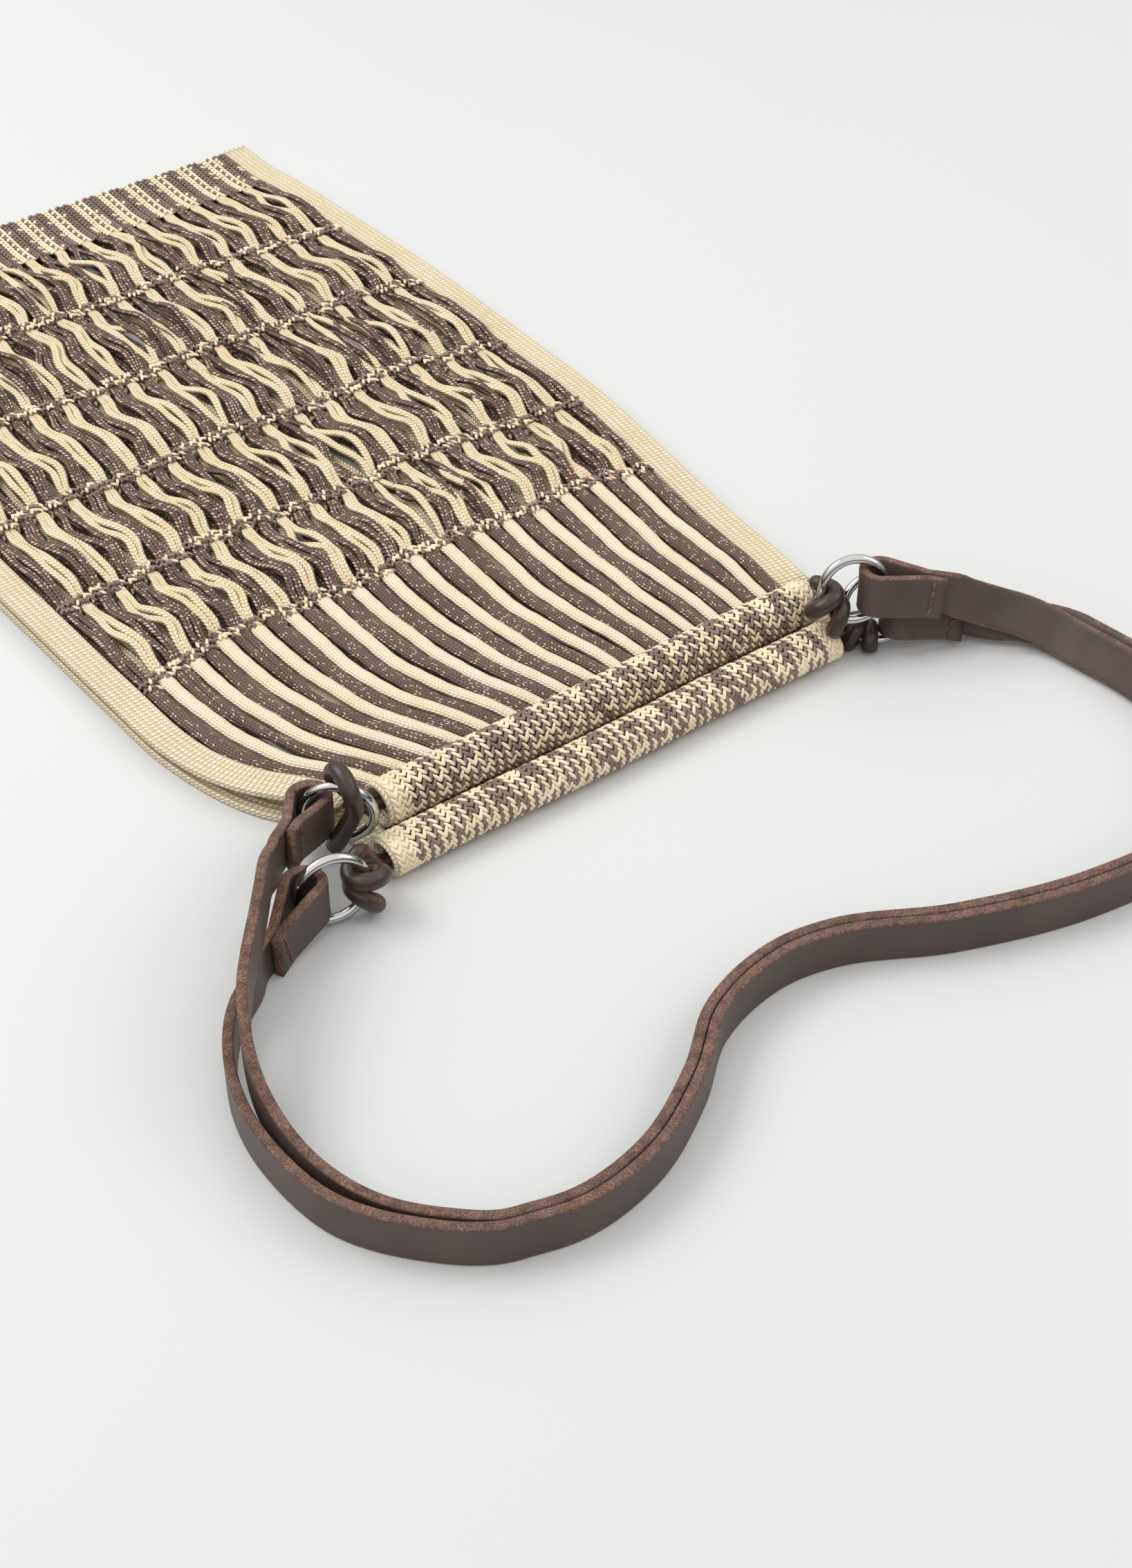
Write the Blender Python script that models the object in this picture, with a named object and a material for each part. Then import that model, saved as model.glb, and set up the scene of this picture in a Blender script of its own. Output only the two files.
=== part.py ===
"""Net shopping bag, lying empty and flat, with two leather straps on edge beside its mouth.

The bag is knitted in cream and brown yarn: a closed band at the base, rows of loose strips
held by knitted bars, and a channel along the mouth of each panel. A round leather cord runs
through each channel and is tied to a steel ring at both ends. The straps hang on the rings.

World frame in metres: X across the bag, Y from the mouth to the base, +Z up, the surface at
Z = 0. The origin is on the surface, in the middle of the closed base band. The tables below
measure Y from the base hem, 25 mm further on.
"""
import bpy
import bmesh
import numpy as np
from math import sin, cos, pi, radians
from mathutils import Vector, Matrix

MM = 0.001
HEM_Y = 25.0 * MM           # the base hem in the world frame

# Net panels
STRIPS = 33                 # strips across the front, every second one brown
BACK_STRIPS = 17            # strips of the back, cut at twice the pitch
BAND_WIDTH = 15.0 * MM      # ribbed cream band down each side
CLOTH = 2.4 * MM            # knit thickness
CLOTH_GAP = 0.4 * MM        # between the two panels where they lie together
STRIP_FILL = 0.80           # share of the pitch that a strip fills in the long section
WAVY_FILL = 0.66            # the same in the rows of loose strips
BAR_Y = [-117.0 * MM, -193.0 * MM, -270.0 * MM, -343.0 * MM, -411.0 * MM]
BAR_HALF = 3.0 * MM         # half the length of a bar along Y
BASE_BAND = 50.0 * MM       # closed band at the base
BAR_DROOP = 9.0 * MM        # how far a bar's ends run toward the mouth

# Bag outline: distance from the base hem, left edge, right edge
OUTLINE = [
    dict(y=0.0, left=-158.0, right=158.0),
    dict(y=-50.0, left=-161.0, right=156.0),
    dict(y=-117.0, left=-166.0, right=158.0),
    dict(y=-193.0, left=-170.0, right=159.0),
    dict(y=-270.0, left=-173.0, right=156.0),
    dict(y=-343.0, left=-173.0, right=152.5),
    dict(y=-411.0, left=-172.5, right=143.0),
    dict(y=-455.0, left=-171.0, right=136.0),
    dict(y=-500.0, left=-160.0, right=129.5),
    dict(y=-545.0, left=-136.0, right=123.0),
]

# Channels along the mouth: centre, half width and half height outside, length
CHANNEL_WALL = 2.3 * MM
CHANNELS = dict(
    front_channel=dict(x=-6.0, y=-553.0, z=14.0, wide=10.0, high=10.0, length=232.0),
    back_channel=dict(x=-15.0, y=-574.5, z=7.6, wide=10.2, high=7.6, length=238.0),
)
CHANNEL_SIDES = 14
CHANNEL_STEPS = 6

# Steel rings: centre, turn about Z, lean of the top away from the mouth
RING_RADIUS = 14.4 * MM     # to the middle of the wire
RING_WIRE = 2.1 * MM        # radius of the wire
RINGS = dict(
    ring_front_left=dict(x=-141.0, y=-553.0, z=20.5, turn=-40.0, lean=-4.0),
    ring_back_left=dict(x=-166.0, y=-586.0, z=16.8, turn=-13.0, lean=5.0),
    ring_front_right=dict(x=112.4, y=-579.5, z=34.0, turn=-30.0, lean=12.0),
    ring_back_right=dict(x=129.3, y=-577.2, z=15.0, turn=-36.0, lean=30.0),
)

# Leather
STRAP_WIDTH = 19.0 * MM
STRAP_THICK = 4.2 * MM
CORD_RADIUS = 2.9 * MM
LOOP_RADIUS = 7.4 * MM      # strap's fold round a ring, to the middle of the leather
LOOP_OFF = 11.4 * MM        # from the ring's centre to the middle of that fold
TAB_LENGTH = 28.0 * MM
TAB_SPACE = 4.6 * MM        # between the middles of tab and strap where they lie together

# Straps: stations of the middle line, with the lean of the top outward. Each strap has its own
# part next to its left ring and its right ring; between them the two lie against each other.
FRONT_LEFT = [
    dict(x=-183.0, y=-571.0, z=28.2, lean=0.0),
    dict(x=-191.5, y=-580.0, z=33.2, lean=0.0),
    dict(x=-200.0, y=-590.5, z=33.4, lean=0.0),
    dict(x=-209.0, y=-601.0, z=32.0, lean=0.0),
    dict(x=-222.5, y=-616.5, z=30.6, lean=0.0),
    dict(x=-232.0, y=-629.0, z=29.4, lean=0.0),
    dict(x=-239.5, y=-642.0, z=26.5, lean=0.0),
    dict(x=-246.5, y=-660.0, z=19.8, lean=0.0),
    dict(x=-249.5, y=-680.0, z=14.4, lean=0.0),
    dict(x=-248.5, y=-702.0, z=11.3, lean=0.0),
    dict(x=-240.0, y=-727.5, z=9.8, lean=0.0),
    dict(x=-225.5, y=-746.0, z=9.6, lean=0.0),
]
BACK_LEFT = [
    dict(x=-212.0, y=-603.5, z=9.5, lean=0.0),
    dict(x=-231.5, y=-618.5, z=9.5, lean=0.0),
    dict(x=-241.5, y=-631.5, z=9.5, lean=0.0),
    dict(x=-250.0, y=-648.5, z=9.5, lean=0.0),
    dict(x=-254.5, y=-664.0, z=9.5, lean=0.0),
    dict(x=-256.5, y=-688.0, z=9.5, lean=0.0),
    dict(x=-252.0, y=-718.0, z=9.5, lean=0.0),
    dict(x=-236.5, y=-742.4, z=9.5, lean=0.0),
]
TOGETHER = [
    dict(x=-207.6, y=-759.6, z=9.6, lean=0.0),
    dict(x=-185.0, y=-765.7, z=9.6, lean=0.0),
    dict(x=-154.0, y=-762.6, z=9.6, lean=0.0),
    dict(x=-117.6, y=-744.8, z=9.6, lean=0.0),
    dict(x=-89.6, y=-724.2, z=9.6, lean=0.0),
    dict(x=-64.0, y=-716.3, z=9.6, lean=0.0),
    dict(x=-44.6, y=-715.3, z=9.6, lean=0.0),
    dict(x=-28.0, y=-718.7, z=9.6, lean=0.0),
    dict(x=18.5, y=-742.2, z=9.6, lean=0.0),
    dict(x=76.5, y=-760.8, z=9.6, lean=0.0),
    dict(x=120.0, y=-764.0, z=9.6, lean=2.0),
    dict(x=160.0, y=-748.0, z=9.6, lean=8.0),
    dict(x=184.0, y=-716.0, z=9.6, lean=18.0),
    dict(x=190.0, y=-677.0, z=9.6, lean=28.0),
    dict(x=187.0, y=-642.0, z=9.6, lean=34.0),
]
FRONT_RIGHT = [
    dict(x=178.5, y=-622.0, z=14.4, lean=33.0),
    dict(x=167.0, y=-613.2, z=19.4, lean=28.0),
    dict(x=153.5, y=-607.5, z=27.0, lean=20.0),
]
BACK_RIGHT = [
    dict(x=181.5, y=-619.0, z=8.9, lean=35.0),
    dict(x=169.0, y=-606.5, z=8.9, lean=36.0),
]
# Direction in which each strap leaves its ring, and the side its tab lies on
STRAP_ENDS = dict(
    strap_front=dict(start=dict(ring="ring_front_left", way=(-0.79, -0.61), z=20.3, lean=0.0, drop=-4.0),
                     end=dict(ring="ring_front_right", way=(0.74, -0.67), z=34.2, lean=12.0, drop=3.0)),
    strap_back=dict(start=dict(ring="ring_back_left", way=(-0.87, -0.49), z=16.2, lean=0.0, drop=7.5),
                    end=dict(ring="ring_back_right", way=(0.79, -0.61), z=15.0, lean=30.0, drop=5.0)),
)
# Where each cord wraps its rings: the first turn's angle above the level, and the angle it moves by
CORDS = dict(
    cord_front=dict(channel="front_channel", lift=1.5,
                    left="ring_front_left", left_start=-30.0, left_turn=60.0, left_via=[],
                    right="ring_front_right", right_start=-25.0, right_turn=60.0,
                    right_via=[(114.2, -555.0, 20.0), (110.5, -560.0, 26.5)]),
    cord_back=dict(channel="back_channel", lift=-0.9,
                   left="ring_back_left", left_start=-43.0, left_turn=60.0, left_via=[],
                   right="ring_back_right", right_start=-30.0, right_turn=60.0, right_via=[]),
)
CORD_WRAP = 300.0           # degrees round the wire
CORD_WRAP_STEPS = 12
CORD_TAIL = 3.0 * MM
CORD_STEP = 3.6 * MM
CORD_TOUCH = 0.6 * MM       # between a ring's wire and the cord round it
FOLD_STEPS = 8
REST_GAP = 0.05 * MM        # between the surface and a piece that lies on it
STRAP_STEP = 18.0 * MM      # length of a strap's flat facets
FRONT_END = -536.6 * MM     # where the strips end, before each channel
BACK_END = -560.2 * MM
FRONT_LIFT = 4.2 * MM       # how far the loose strips rise
BACK_LIFT = 2.6 * MM


def clear_scene():
    for item in list(bpy.data.objects):
        bpy.data.objects.remove(item, do_unlink=True)


def material(name, colour, roughness, metallic=0.0):
    mat = bpy.data.materials.new(name)
    mat.use_nodes = True
    shader = mat.node_tree.nodes["Principled BSDF"]
    shader.inputs["Base Color"].default_value = (*colour, 1.0)
    shader.inputs["Roughness"].default_value = roughness
    shader.inputs["Metallic"].default_value = metallic
    return mat


def add_object(name, data, mat):
    data.transform(Matrix.Translation((0.0, HEM_Y, 0.0)))
    piece = bpy.data.objects.new(name, data)
    bpy.context.scene.collection.objects.link(piece)
    data.materials.append(mat)
    return piece


def smooth_step(t):
    t = min(max(t, 0.0), 1.0)
    return t * t * (3.0 - 2.0 * t)


def smooth_line(points, step):
    """Rows on a smooth curve through the given rows, whose first three numbers are a place."""
    rows = np.array(points, float)
    spans = np.linalg.norm(np.diff(rows[:, :3], axis=0), axis=1)
    slopes = np.diff(rows, axis=0) / spans[:, None]
    ways = [slopes[0]]
    for i in range(1, len(rows) - 1):
        ways.append((slopes[i - 1] * spans[i] + slopes[i] * spans[i - 1]) / (spans[i - 1] + spans[i]))
    ways.append(slopes[-1])
    out = []
    for i, span in enumerate(spans):
        count = max(1, round(span / step))
        for k in range(count):
            t = k / count
            swell = t * t * (3.0 - 2.0 * t)
            out.append(rows[i] * (1.0 - swell) + rows[i + 1] * swell
                       + ways[i] * span * (t ** 3 - 2 * t * t + t) + ways[i + 1] * span * (t ** 3 - t * t))
    out.append(rows[-1])
    return np.array(out)


def evenly(rows, step):
    """The same line as rows about one step apart."""
    lengths = np.r_[0.0, np.cumsum(np.linalg.norm(np.diff(rows[:, :3], axis=0), axis=1))]
    count = max(2, round(lengths[-1] / step))
    at = np.linspace(0.0, lengths[-1], count + 1)
    return np.array([[np.interp(s, lengths, rows[:, c]) for c in range(rows.shape[1])] for s in at])


def outline_at(y):
    """Left and right edge of the bag at a distance y from the base hem."""
    y_mm = y / MM
    rows = OUTLINE
    if y_mm <= rows[-1]["y"]:
        return rows[-1]["left"] * MM, rows[-1]["right"] * MM
    for i in range(len(rows) - 1):
        if rows[i + 1]["y"] <= y_mm:
            a = rows[max(i - 1, 0)]
            b, c = rows[i], rows[i + 1]
            d = rows[min(i + 2, len(rows) - 1)]
            t = (y_mm - b["y"]) / (c["y"] - b["y"])
            found = []
            for side in ("left", "right"):
                p0, p1, p2, p3 = a[side], b[side], c[side], d[side]
                found.append(0.5 * (2 * p1 + (p2 - p0) * t + (2 * p0 - 5 * p1 + 4 * p2 - p3) * t * t
                                    + (3 * p1 - p0 - 3 * p2 + p3) * t ** 3) * MM)
            return found[0], found[1]
    return rows[0]["left"] * MM, rows[0]["right"] * MM


def row_stations(wavy_steps, long_steps, long_end):
    """Stations along Y from hem to mouth: each has its y, its kind and its share of the row."""
    out = [dict(y=0.0, kind="band", row=0, t=0.0), dict(y=-BASE_BAND, kind="band", row=0, t=1.0)]
    top = -BASE_BAND
    for row, bar in enumerate(BAR_Y):
        bottom = bar + BAR_HALF
        for k in range(1, wavy_steps + 1):
            out.append(dict(y=top + (bottom - top) * k / wavy_steps, kind="wavy", row=row + 1, t=k / wavy_steps))
        out.append(dict(y=bar - BAR_HALF, kind="bar", row=row + 1, t=1.0))
        top = bar - BAR_HALF
    for k in range(1, long_steps + 1):
        out.append(dict(y=top + (long_end - top) * k / long_steps, kind="long", row=6, t=k / long_steps))
    out.append(dict(y=long_end - 2 * BAR_HALF, kind="bar", row=7, t=1.0))
    return out


def ripple(strip, row):
    """Uneven numbers of a strip in a row, from 0 to 1, the same each time."""
    a = sin(12.9898 * (strip + 1) + 78.233 * (row + 1)) * 43758.5453
    b = sin(39.3461 * (strip + 1) + 11.135 * (row + 1)) * 24634.6345
    return a - a // 1.0, b - b // 1.0


def make_panel(name, strips, wavy_steps, long_steps, long_end, floor, lift, sway, join_right, mat):
    """One net panel: a grid of strips and bars with the gaps between strips taken out, then thickened."""
    stations = row_stations(wavy_steps, long_steps, long_end)
    columns = 3 + 2 * strips + 3
    mesh = bpy.data.meshes.new(name)
    bm = bmesh.new()
    bmesh.ops.create_grid(bm, x_segments=columns - 1, y_segments=len(stations) - 1, size=1.0)
    grid = {}
    for v in bm.verts:
        i = round((v.co.x + 1) / 2 * (columns - 1))
        j = round((1 - v.co.y) / 2 * (len(stations) - 1))
        grid[i, j] = v
    gaps = []
    for face in bm.faces:
        middle = face.calc_center_median()
        i = int((middle.x + 1) / 2 * (columns - 1))
        j = int((1 - middle.y) / 2 * (len(stations) - 1))
        between = i >= 2 and i <= columns - 4 and i % 2 == 0
        if join_right and i == columns - 4:
            between = False
        if between and stations[j + 1]["kind"] in ("wavy", "long"):
            gaps.append(face)
    for (i, j), v in grid.items():
        place = stations[j]
        left, right = outline_at(place["y"])
        inner_left, inner_right = left + BAND_WIDTH, right - BAND_WIDTH
        pitch = (inner_right - inner_left) / strips
        kind = place["kind"]
        loose = sin(pi * place["t"]) if kind in ("wavy", "long") else 0.0
        fill = WAVY_FILL if kind == "wavy" else STRIP_FILL
        if loose < 0.01:
            fill = 0.88
        y, z = place["y"], floor(place["y"])
        if i < 3:
            x = left + BAND_WIDTH * i / 2
            across = 0.0
        elif i > columns - 4:
            x = inner_right + BAND_WIDTH * (i - (columns - 3)) / 2
            across = 1.0
        else:
            strip = (i - 3) // 2
            side = (i - 3) % 2
            u, w = ripple(strip, place["row"])
            x = inner_left + pitch * (strip + 0.5 + (side - 0.5) * fill)
            across = (strip + 0.5) / strips
            if kind == "wavy":
                swing = sway * pitch * (sin(2 * pi * place["t"] + 1.2 * sin(0.35 * strip + place["row"]))
                                        * 0.75 + (u - 0.5) * 0.5) * loose ** 0.5
                x += swing * min(1.0, strip / 2.0, (strips - 1 - strip) / 2.0)
                z += lift * loose * (0.45 + 0.55 * w)
            elif kind == "long":
                z += 0.35 * lift * loose * (0.3 + 0.7 * w)
        droop = max(0.0, abs(2 * across - 1) - 0.62) / 0.38
        if place["y"] < -BASE_BAND and place["row"] < 7:
            reach = smooth_step((-place["y"] - BASE_BAND) / (60 * MM))
            back = smooth_step((place["y"] - long_end) / (80 * MM))
            y -= BAR_DROOP * droop ** 1.5 * reach * back
        v.co = (x, y, z)
    bmesh.ops.delete(bm, geom=gaps, context="FACES")
    loose_points = [v for v in bm.verts if not v.link_faces]
    bmesh.ops.delete(bm, geom=loose_points, context="VERTS")
    bmesh.ops.recalc_face_normals(bm, faces=bm.faces)
    if sum(face.normal.z for face in bm.faces) < 0:
        bmesh.ops.reverse_faces(bm, faces=bm.faces)
    bm.to_mesh(mesh)
    bm.free()
    piece = add_object(name, mesh, mat)
    thick = piece.modifiers.new("Knit thickness", "SOLIDIFY")
    thick.thickness = CLOTH
    thick.offset = 0.0
    return piece


def back_floor(y):
    """Height of the middle of the back panel's knit."""
    return CLOTH / 2


def front_floor(y):
    """Height of the middle of the front panel's knit: it lies on the back panel's loose strips."""
    low = 1.5 * CLOTH + CLOTH_GAP
    over_rows = 3.2 * MM * smooth_step((-y - 0.6 * BASE_BAND) / (35 * MM))
    to_channel = 4.5 * MM * smooth_step((-y - 455 * MM) / (75 * MM))
    return low + over_rows + to_channel


def make_channel(name, spec, mat):
    """A knitted tube, open at both ends, bowed and uneven by about a millimetre."""
    mesh = bpy.data.meshes.new(name)
    bm = bmesh.new()
    rings = []
    for wall in (0.0, CHANNEL_WALL):
        loops = []
        for k in range(CHANNEL_STEPS + 1):
            t = k / CHANNEL_STEPS
            x = (spec["x"] + (t - 0.5) * spec["length"]) * MM
            sag = 0.5 * MM * sin(3 * pi * t + 0.6)
            loop = []
            for s in range(CHANNEL_SIDES):
                a = 2 * pi * (s + 0.5) / CHANNEL_SIDES
                y = spec["y"] * MM + sag + (spec["wide"] * MM - wall) * cos(a)
                z = spec["z"] * MM + (spec["high"] * MM - wall) * sin(a)
                loop.append(bm.verts.new((x, y, z)))
            loops.append(loop)
        rings.append(loops)
    outer, inner = rings
    pairs = list(zip(outer, outer[1:])) + list(zip(inner, inner[1:]))
    pairs += [(outer[0], inner[0]), (outer[-1], inner[-1])]
    for one, two in pairs:
        for s in range(CHANNEL_SIDES):
            after = (s + 1) % CHANNEL_SIDES
            bm.faces.new((one[s], one[after], two[after], two[s]))
    bmesh.ops.recalc_face_normals(bm, faces=bm.faces)
    bm.to_mesh(mesh)
    bm.free()
    mesh.shade_smooth()
    return add_object(name, mesh, mat)


def ring_frame(spec):
    """A ring's centre and its level and upright directions in its own plane."""
    centre = Vector((spec["x"], spec["y"], spec["z"])) * MM
    turn = radians(spec["turn"])
    lean = radians(spec["lean"])
    level = Vector((cos(turn), sin(turn), 0.0))
    flat_normal = Vector((-sin(turn), cos(turn), 0.0))
    up = Vector((0, 0, 1)) * cos(lean) + flat_normal * sin(lean)
    return centre, level, up


def make_ring(name, spec, mat):
    centre, level, up = ring_frame(spec)
    mesh = bpy.data.meshes.new(name)
    bm = bmesh.new()
    wire = bmesh.ops.create_circle(bm, segments=7, radius=RING_WIRE, cap_ends=False)["verts"]
    turn_up = Matrix.Rotation(radians(90), 4, "X")
    bmesh.ops.transform(bm, matrix=Matrix.Translation((RING_RADIUS, 0, 0)) @ turn_up, verts=wire)
    bmesh.ops.spin(bm, geom=bm.verts[:] + bm.edges[:], cent=(0, 0, 0), axis=(0, 0, 1), angle=2 * pi,
                   steps=18, use_merge=True)
    basis = Matrix((level, up, level.cross(up))).transposed().to_4x4()
    bmesh.ops.transform(bm, matrix=Matrix.Translation(centre) @ basis, verts=bm.verts)
    bmesh.ops.recalc_face_normals(bm, faces=bm.faces)
    bm.to_mesh(mesh)
    bm.free()
    mesh.shade_smooth()
    return add_object(name, mesh, mat)


def strap_end(name, which):
    """Rows of a strap's end from the tab's end round the ring to the main run: x, y, z, top's offset x, y."""
    spec = STRAP_ENDS[name][which]
    centre, level, up = ring_frame(RINGS[spec["ring"]])
    way = Vector((*spec["way"], 0.0)).normalized()
    side = level if way.dot(level) > 0 else -level
    hub = Vector((centre.x, centre.y, spec["z"] * MM)) + side * LOOP_OFF
    across = Vector((-way.y, way.x, 0.0))
    if across.y < 0:
        across = -across
    across /= cos(radians(spec["lean"]))
    near, far = -across * TAB_SPACE / 2, across * TAB_SPACE / 2
    slope = way - Vector((0, 0, spec["drop"] * MM / TAB_LENGTH))
    fold_end = TAB_LENGTH - 8 * MM
    line = [hub + slope * TAB_LENGTH + near, hub + slope * fold_end + near]
    for k in range(FOLD_STEPS + 1):
        a = radians(78 + 204 * k / FOLD_STEPS)
        line.append(hub + way * cos(a) * LOOP_RADIUS - across * sin(a) * LOOP_RADIUS)
    line += [hub + slope * reach + far for reach in (fold_end, TAB_LENGTH, TAB_LENGTH + 4 * MM)]
    top = across.normalized() * sin(radians(spec["lean"]))
    return np.array([[*p, top.x, top.y] for p in line])


def strap_rows(stations):
    """Rows of the given stations: place, and the sideways offset of the top for one unit of width."""
    rows = []
    for i, here in enumerate(stations):
        one, two = stations[max(i - 1, 0)], stations[min(i + 1, len(stations) - 1)]
        along = Vector((two["x"] - one["x"], two["y"] - one["y"])).normalized()
        lean = sin(radians(here["lean"]))
        rows.append([here["x"] * MM, here["y"] * MM, here["z"] * MM, along.y * lean, -along.x * lean])
    return rows


def beside(rows):
    """The line that lies against the outer side of the given one, facet for facet."""
    ways = np.diff(rows[:, :2], axis=0)
    ways /= np.linalg.norm(ways, axis=1)[:, None]
    out = np.column_stack([ways[:, 1], -ways[:, 0]])
    before, after = np.vstack([out[:1], out]), np.vstack([out, out[-1:]])
    mitre = (before + after) / (1.0 + (before * after).sum(axis=1))[:, None]
    upright = np.sqrt(1.0 - rows[:, 3] ** 2 - rows[:, 4] ** 2)
    moved = rows.copy()
    moved[:, :2] += mitre * (TAB_SPACE / upright)[:, None]
    return moved


def strap_line(name, left, right, together):
    """Rows along a whole strap, from the end of one tab to the end of the other."""
    first = strap_end(name, "start")
    last = strap_end(name, "end")[::-1]
    lead_in = smooth_line(np.vstack([first[-2:], strap_rows(left), together[:2]]), MM)
    lead_out = smooth_line(np.vstack([together[-2:], strap_rows(right), last[:2]]), MM)
    starts = np.linalg.norm(lead_in[:, :3] - first[-1, :3], axis=1).argmin()
    joins = np.linalg.norm(lead_in[:, :3] - together[0, :3], axis=1).argmin()
    leaves = np.linalg.norm(lead_out[:, :3] - together[-1, :3], axis=1).argmin()
    stops = np.linalg.norm(lead_out[:, :3] - last[0, :3], axis=1).argmin()
    line = np.vstack([first[:-1], evenly(lead_in[starts:joins + 1], STRAP_STEP)[:-1], together[:-1],
                      evenly(lead_out[leaves:stops + 1], STRAP_STEP)[:-1], last])
    lean = np.hypot(line[:, 3], line[:, 4])
    lowest = STRAP_WIDTH / 2 * np.sqrt(1.0 - lean ** 2) + STRAP_THICK / 2 * lean
    line[:, 2] = np.maximum(line[:, 2], lowest + REST_GAP)
    return line


def make_strap(name, line, mat):
    """A flat strap standing on edge, folded round a ring at each end with its tab laid back on it."""
    mesh = bpy.data.meshes.new(name)
    bm = bmesh.new()
    bmesh.ops.create_grid(bm, x_segments=len(line) - 1, y_segments=1, size=1.0)
    for v in bm.verts:
        x, y, z, top_x, top_y = line[round((v.co.x + 1) / 2 * (len(line) - 1))]
        up = Vector((top_x, top_y, (1.0 - top_x ** 2 - top_y ** 2) ** 0.5))
        side = 0.5 if v.co.y > 0 else -0.5
        v.co = Vector((x, y, z)) + up * side * STRAP_WIDTH
    bm.to_mesh(mesh)
    bm.free()
    piece = add_object(name, mesh, mat)
    thick = piece.modifiers.new("Leather thickness", "SOLIDIFY")
    thick.thickness = STRAP_THICK
    thick.offset = 0.0
    thick.use_even_offset = True
    return piece


def cord_end(channel, spec, which):
    """Points of a cord's end, from just outside its channel round the ring's wire to the tail."""
    centre, level, up = ring_frame(RINGS[spec[which]])
    mouth = Vector((channel["x"], channel["y"], channel["z"])) * MM
    out = 1.0 if centre.x > mouth.x else -1.0
    mouth.x += out * channel["length"] / 2 * MM
    mouth.z += spec["lift"] * MM
    side = level if level.x * out < 0 else -level
    normal = side.cross(up)
    if normal.y < 0:
        normal = -normal
    reach = RING_WIRE + CORD_RADIUS + CORD_TOUCH
    points = [mouth - Vector((out * 6 * MM, 0, 0)), mouth + Vector((out * 1 * MM, 0, 0))]
    points += [Vector(place) * MM for place in spec[which + "_via"]]
    for k in range(CORD_WRAP_STEPS + 1):
        t = k / CORD_WRAP_STEPS
        a = radians(90 + CORD_WRAP * t)
        at = radians(spec[which + "_start"] + spec[which + "_turn"] * t)
        radial = side * cos(at) + up * sin(at)
        points.append(centre + radial * RING_RADIUS + (radial * cos(a) + normal * sin(a)) * reach)
    tail = (points[-1] - points[-2]).normalized()
    points.append(points[-1] + tail * CORD_TAIL)
    return points


def make_cord(name, spec, mat):
    """A round leather cord through a channel, wrapped once round a ring at each end."""
    channel = CHANNELS[spec["channel"]]
    left, right = [evenly(smooth_line(cord_end(channel, spec, which), MM), CORD_STEP)
                   for which in ("left", "right")]
    middle = np.linspace(left[0], right[0], CHANNEL_STEPS + 1)[1:-1]
    line = np.vstack([left[::-1], middle, right])
    curve = bpy.data.curves.new(name, "CURVE")
    curve.dimensions = "3D"
    spline = curve.splines.new("POLY")
    spline.points.add(len(line) - 1)
    for point, place in zip(spline.points, line):
        point.co = (*place, 1.0)
    curve.bevel_depth = CORD_RADIUS
    curve.bevel_resolution = 2
    curve.use_fill_caps = True
    return add_object(name, curve, mat)


def main():
    clear_scene()
    cream = material("Cream and brown yarn", (0.62, 0.50, 0.33), 0.8)
    knit = material("Mixed yarn", (0.42, 0.34, 0.25), 0.8)
    leather = material("Dark brown leather", (0.075, 0.045, 0.035), 0.5)
    steel = material("Polished steel", (0.80, 0.80, 0.82), 0.12, 1.0)
    make_panel("front_panel", STRIPS, 4, 2, FRONT_END, front_floor, FRONT_LIFT, 0.30, True, cream)
    make_panel("back_panel", BACK_STRIPS, 3, 1, BACK_END, back_floor, BACK_LIFT, 0.10, False, cream)
    for name, spec in CHANNELS.items():
        make_channel(name, spec, knit)
    for name, spec in RINGS.items():
        make_ring(name, spec, steel)
    together = evenly(smooth_line(strap_rows(TOGETHER), MM), STRAP_STEP)
    make_strap("strap_front", strap_line("strap_front", FRONT_LEFT, FRONT_RIGHT, together), leather)
    make_strap("strap_back", strap_line("strap_back", BACK_LEFT, BACK_RIGHT, beside(together)), leather)
    for name, spec in CORDS.items():
        make_cord(name, spec, leather)


main()
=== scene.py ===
"""Looks of a net shopping bag that lies flat, with two leather straps on edge beside its mouth.

Lengths in the tables are in millimetres, and Y is measured from the base hem. World frame in
metres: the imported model's own.
"""
from math import sin, cos, pi, radians

import bmesh
import bpy
import numpy as np
from mathutils import Matrix, Vector


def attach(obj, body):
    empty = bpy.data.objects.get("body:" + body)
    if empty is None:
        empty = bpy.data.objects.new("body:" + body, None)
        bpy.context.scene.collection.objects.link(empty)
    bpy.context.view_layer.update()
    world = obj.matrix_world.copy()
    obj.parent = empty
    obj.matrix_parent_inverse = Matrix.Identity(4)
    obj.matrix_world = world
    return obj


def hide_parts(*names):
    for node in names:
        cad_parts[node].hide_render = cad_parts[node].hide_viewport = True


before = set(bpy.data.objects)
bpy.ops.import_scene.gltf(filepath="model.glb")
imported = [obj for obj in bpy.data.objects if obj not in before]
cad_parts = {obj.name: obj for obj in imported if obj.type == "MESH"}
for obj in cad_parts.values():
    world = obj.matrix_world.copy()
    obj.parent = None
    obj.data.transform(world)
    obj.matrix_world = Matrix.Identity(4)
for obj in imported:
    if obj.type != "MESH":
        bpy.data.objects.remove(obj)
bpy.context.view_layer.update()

MM = 0.001
HEM_Y = 25.0 * MM
LOWEST = 0.02 * MM
UP = Vector((0.0, 0.0, 1.0))

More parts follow.
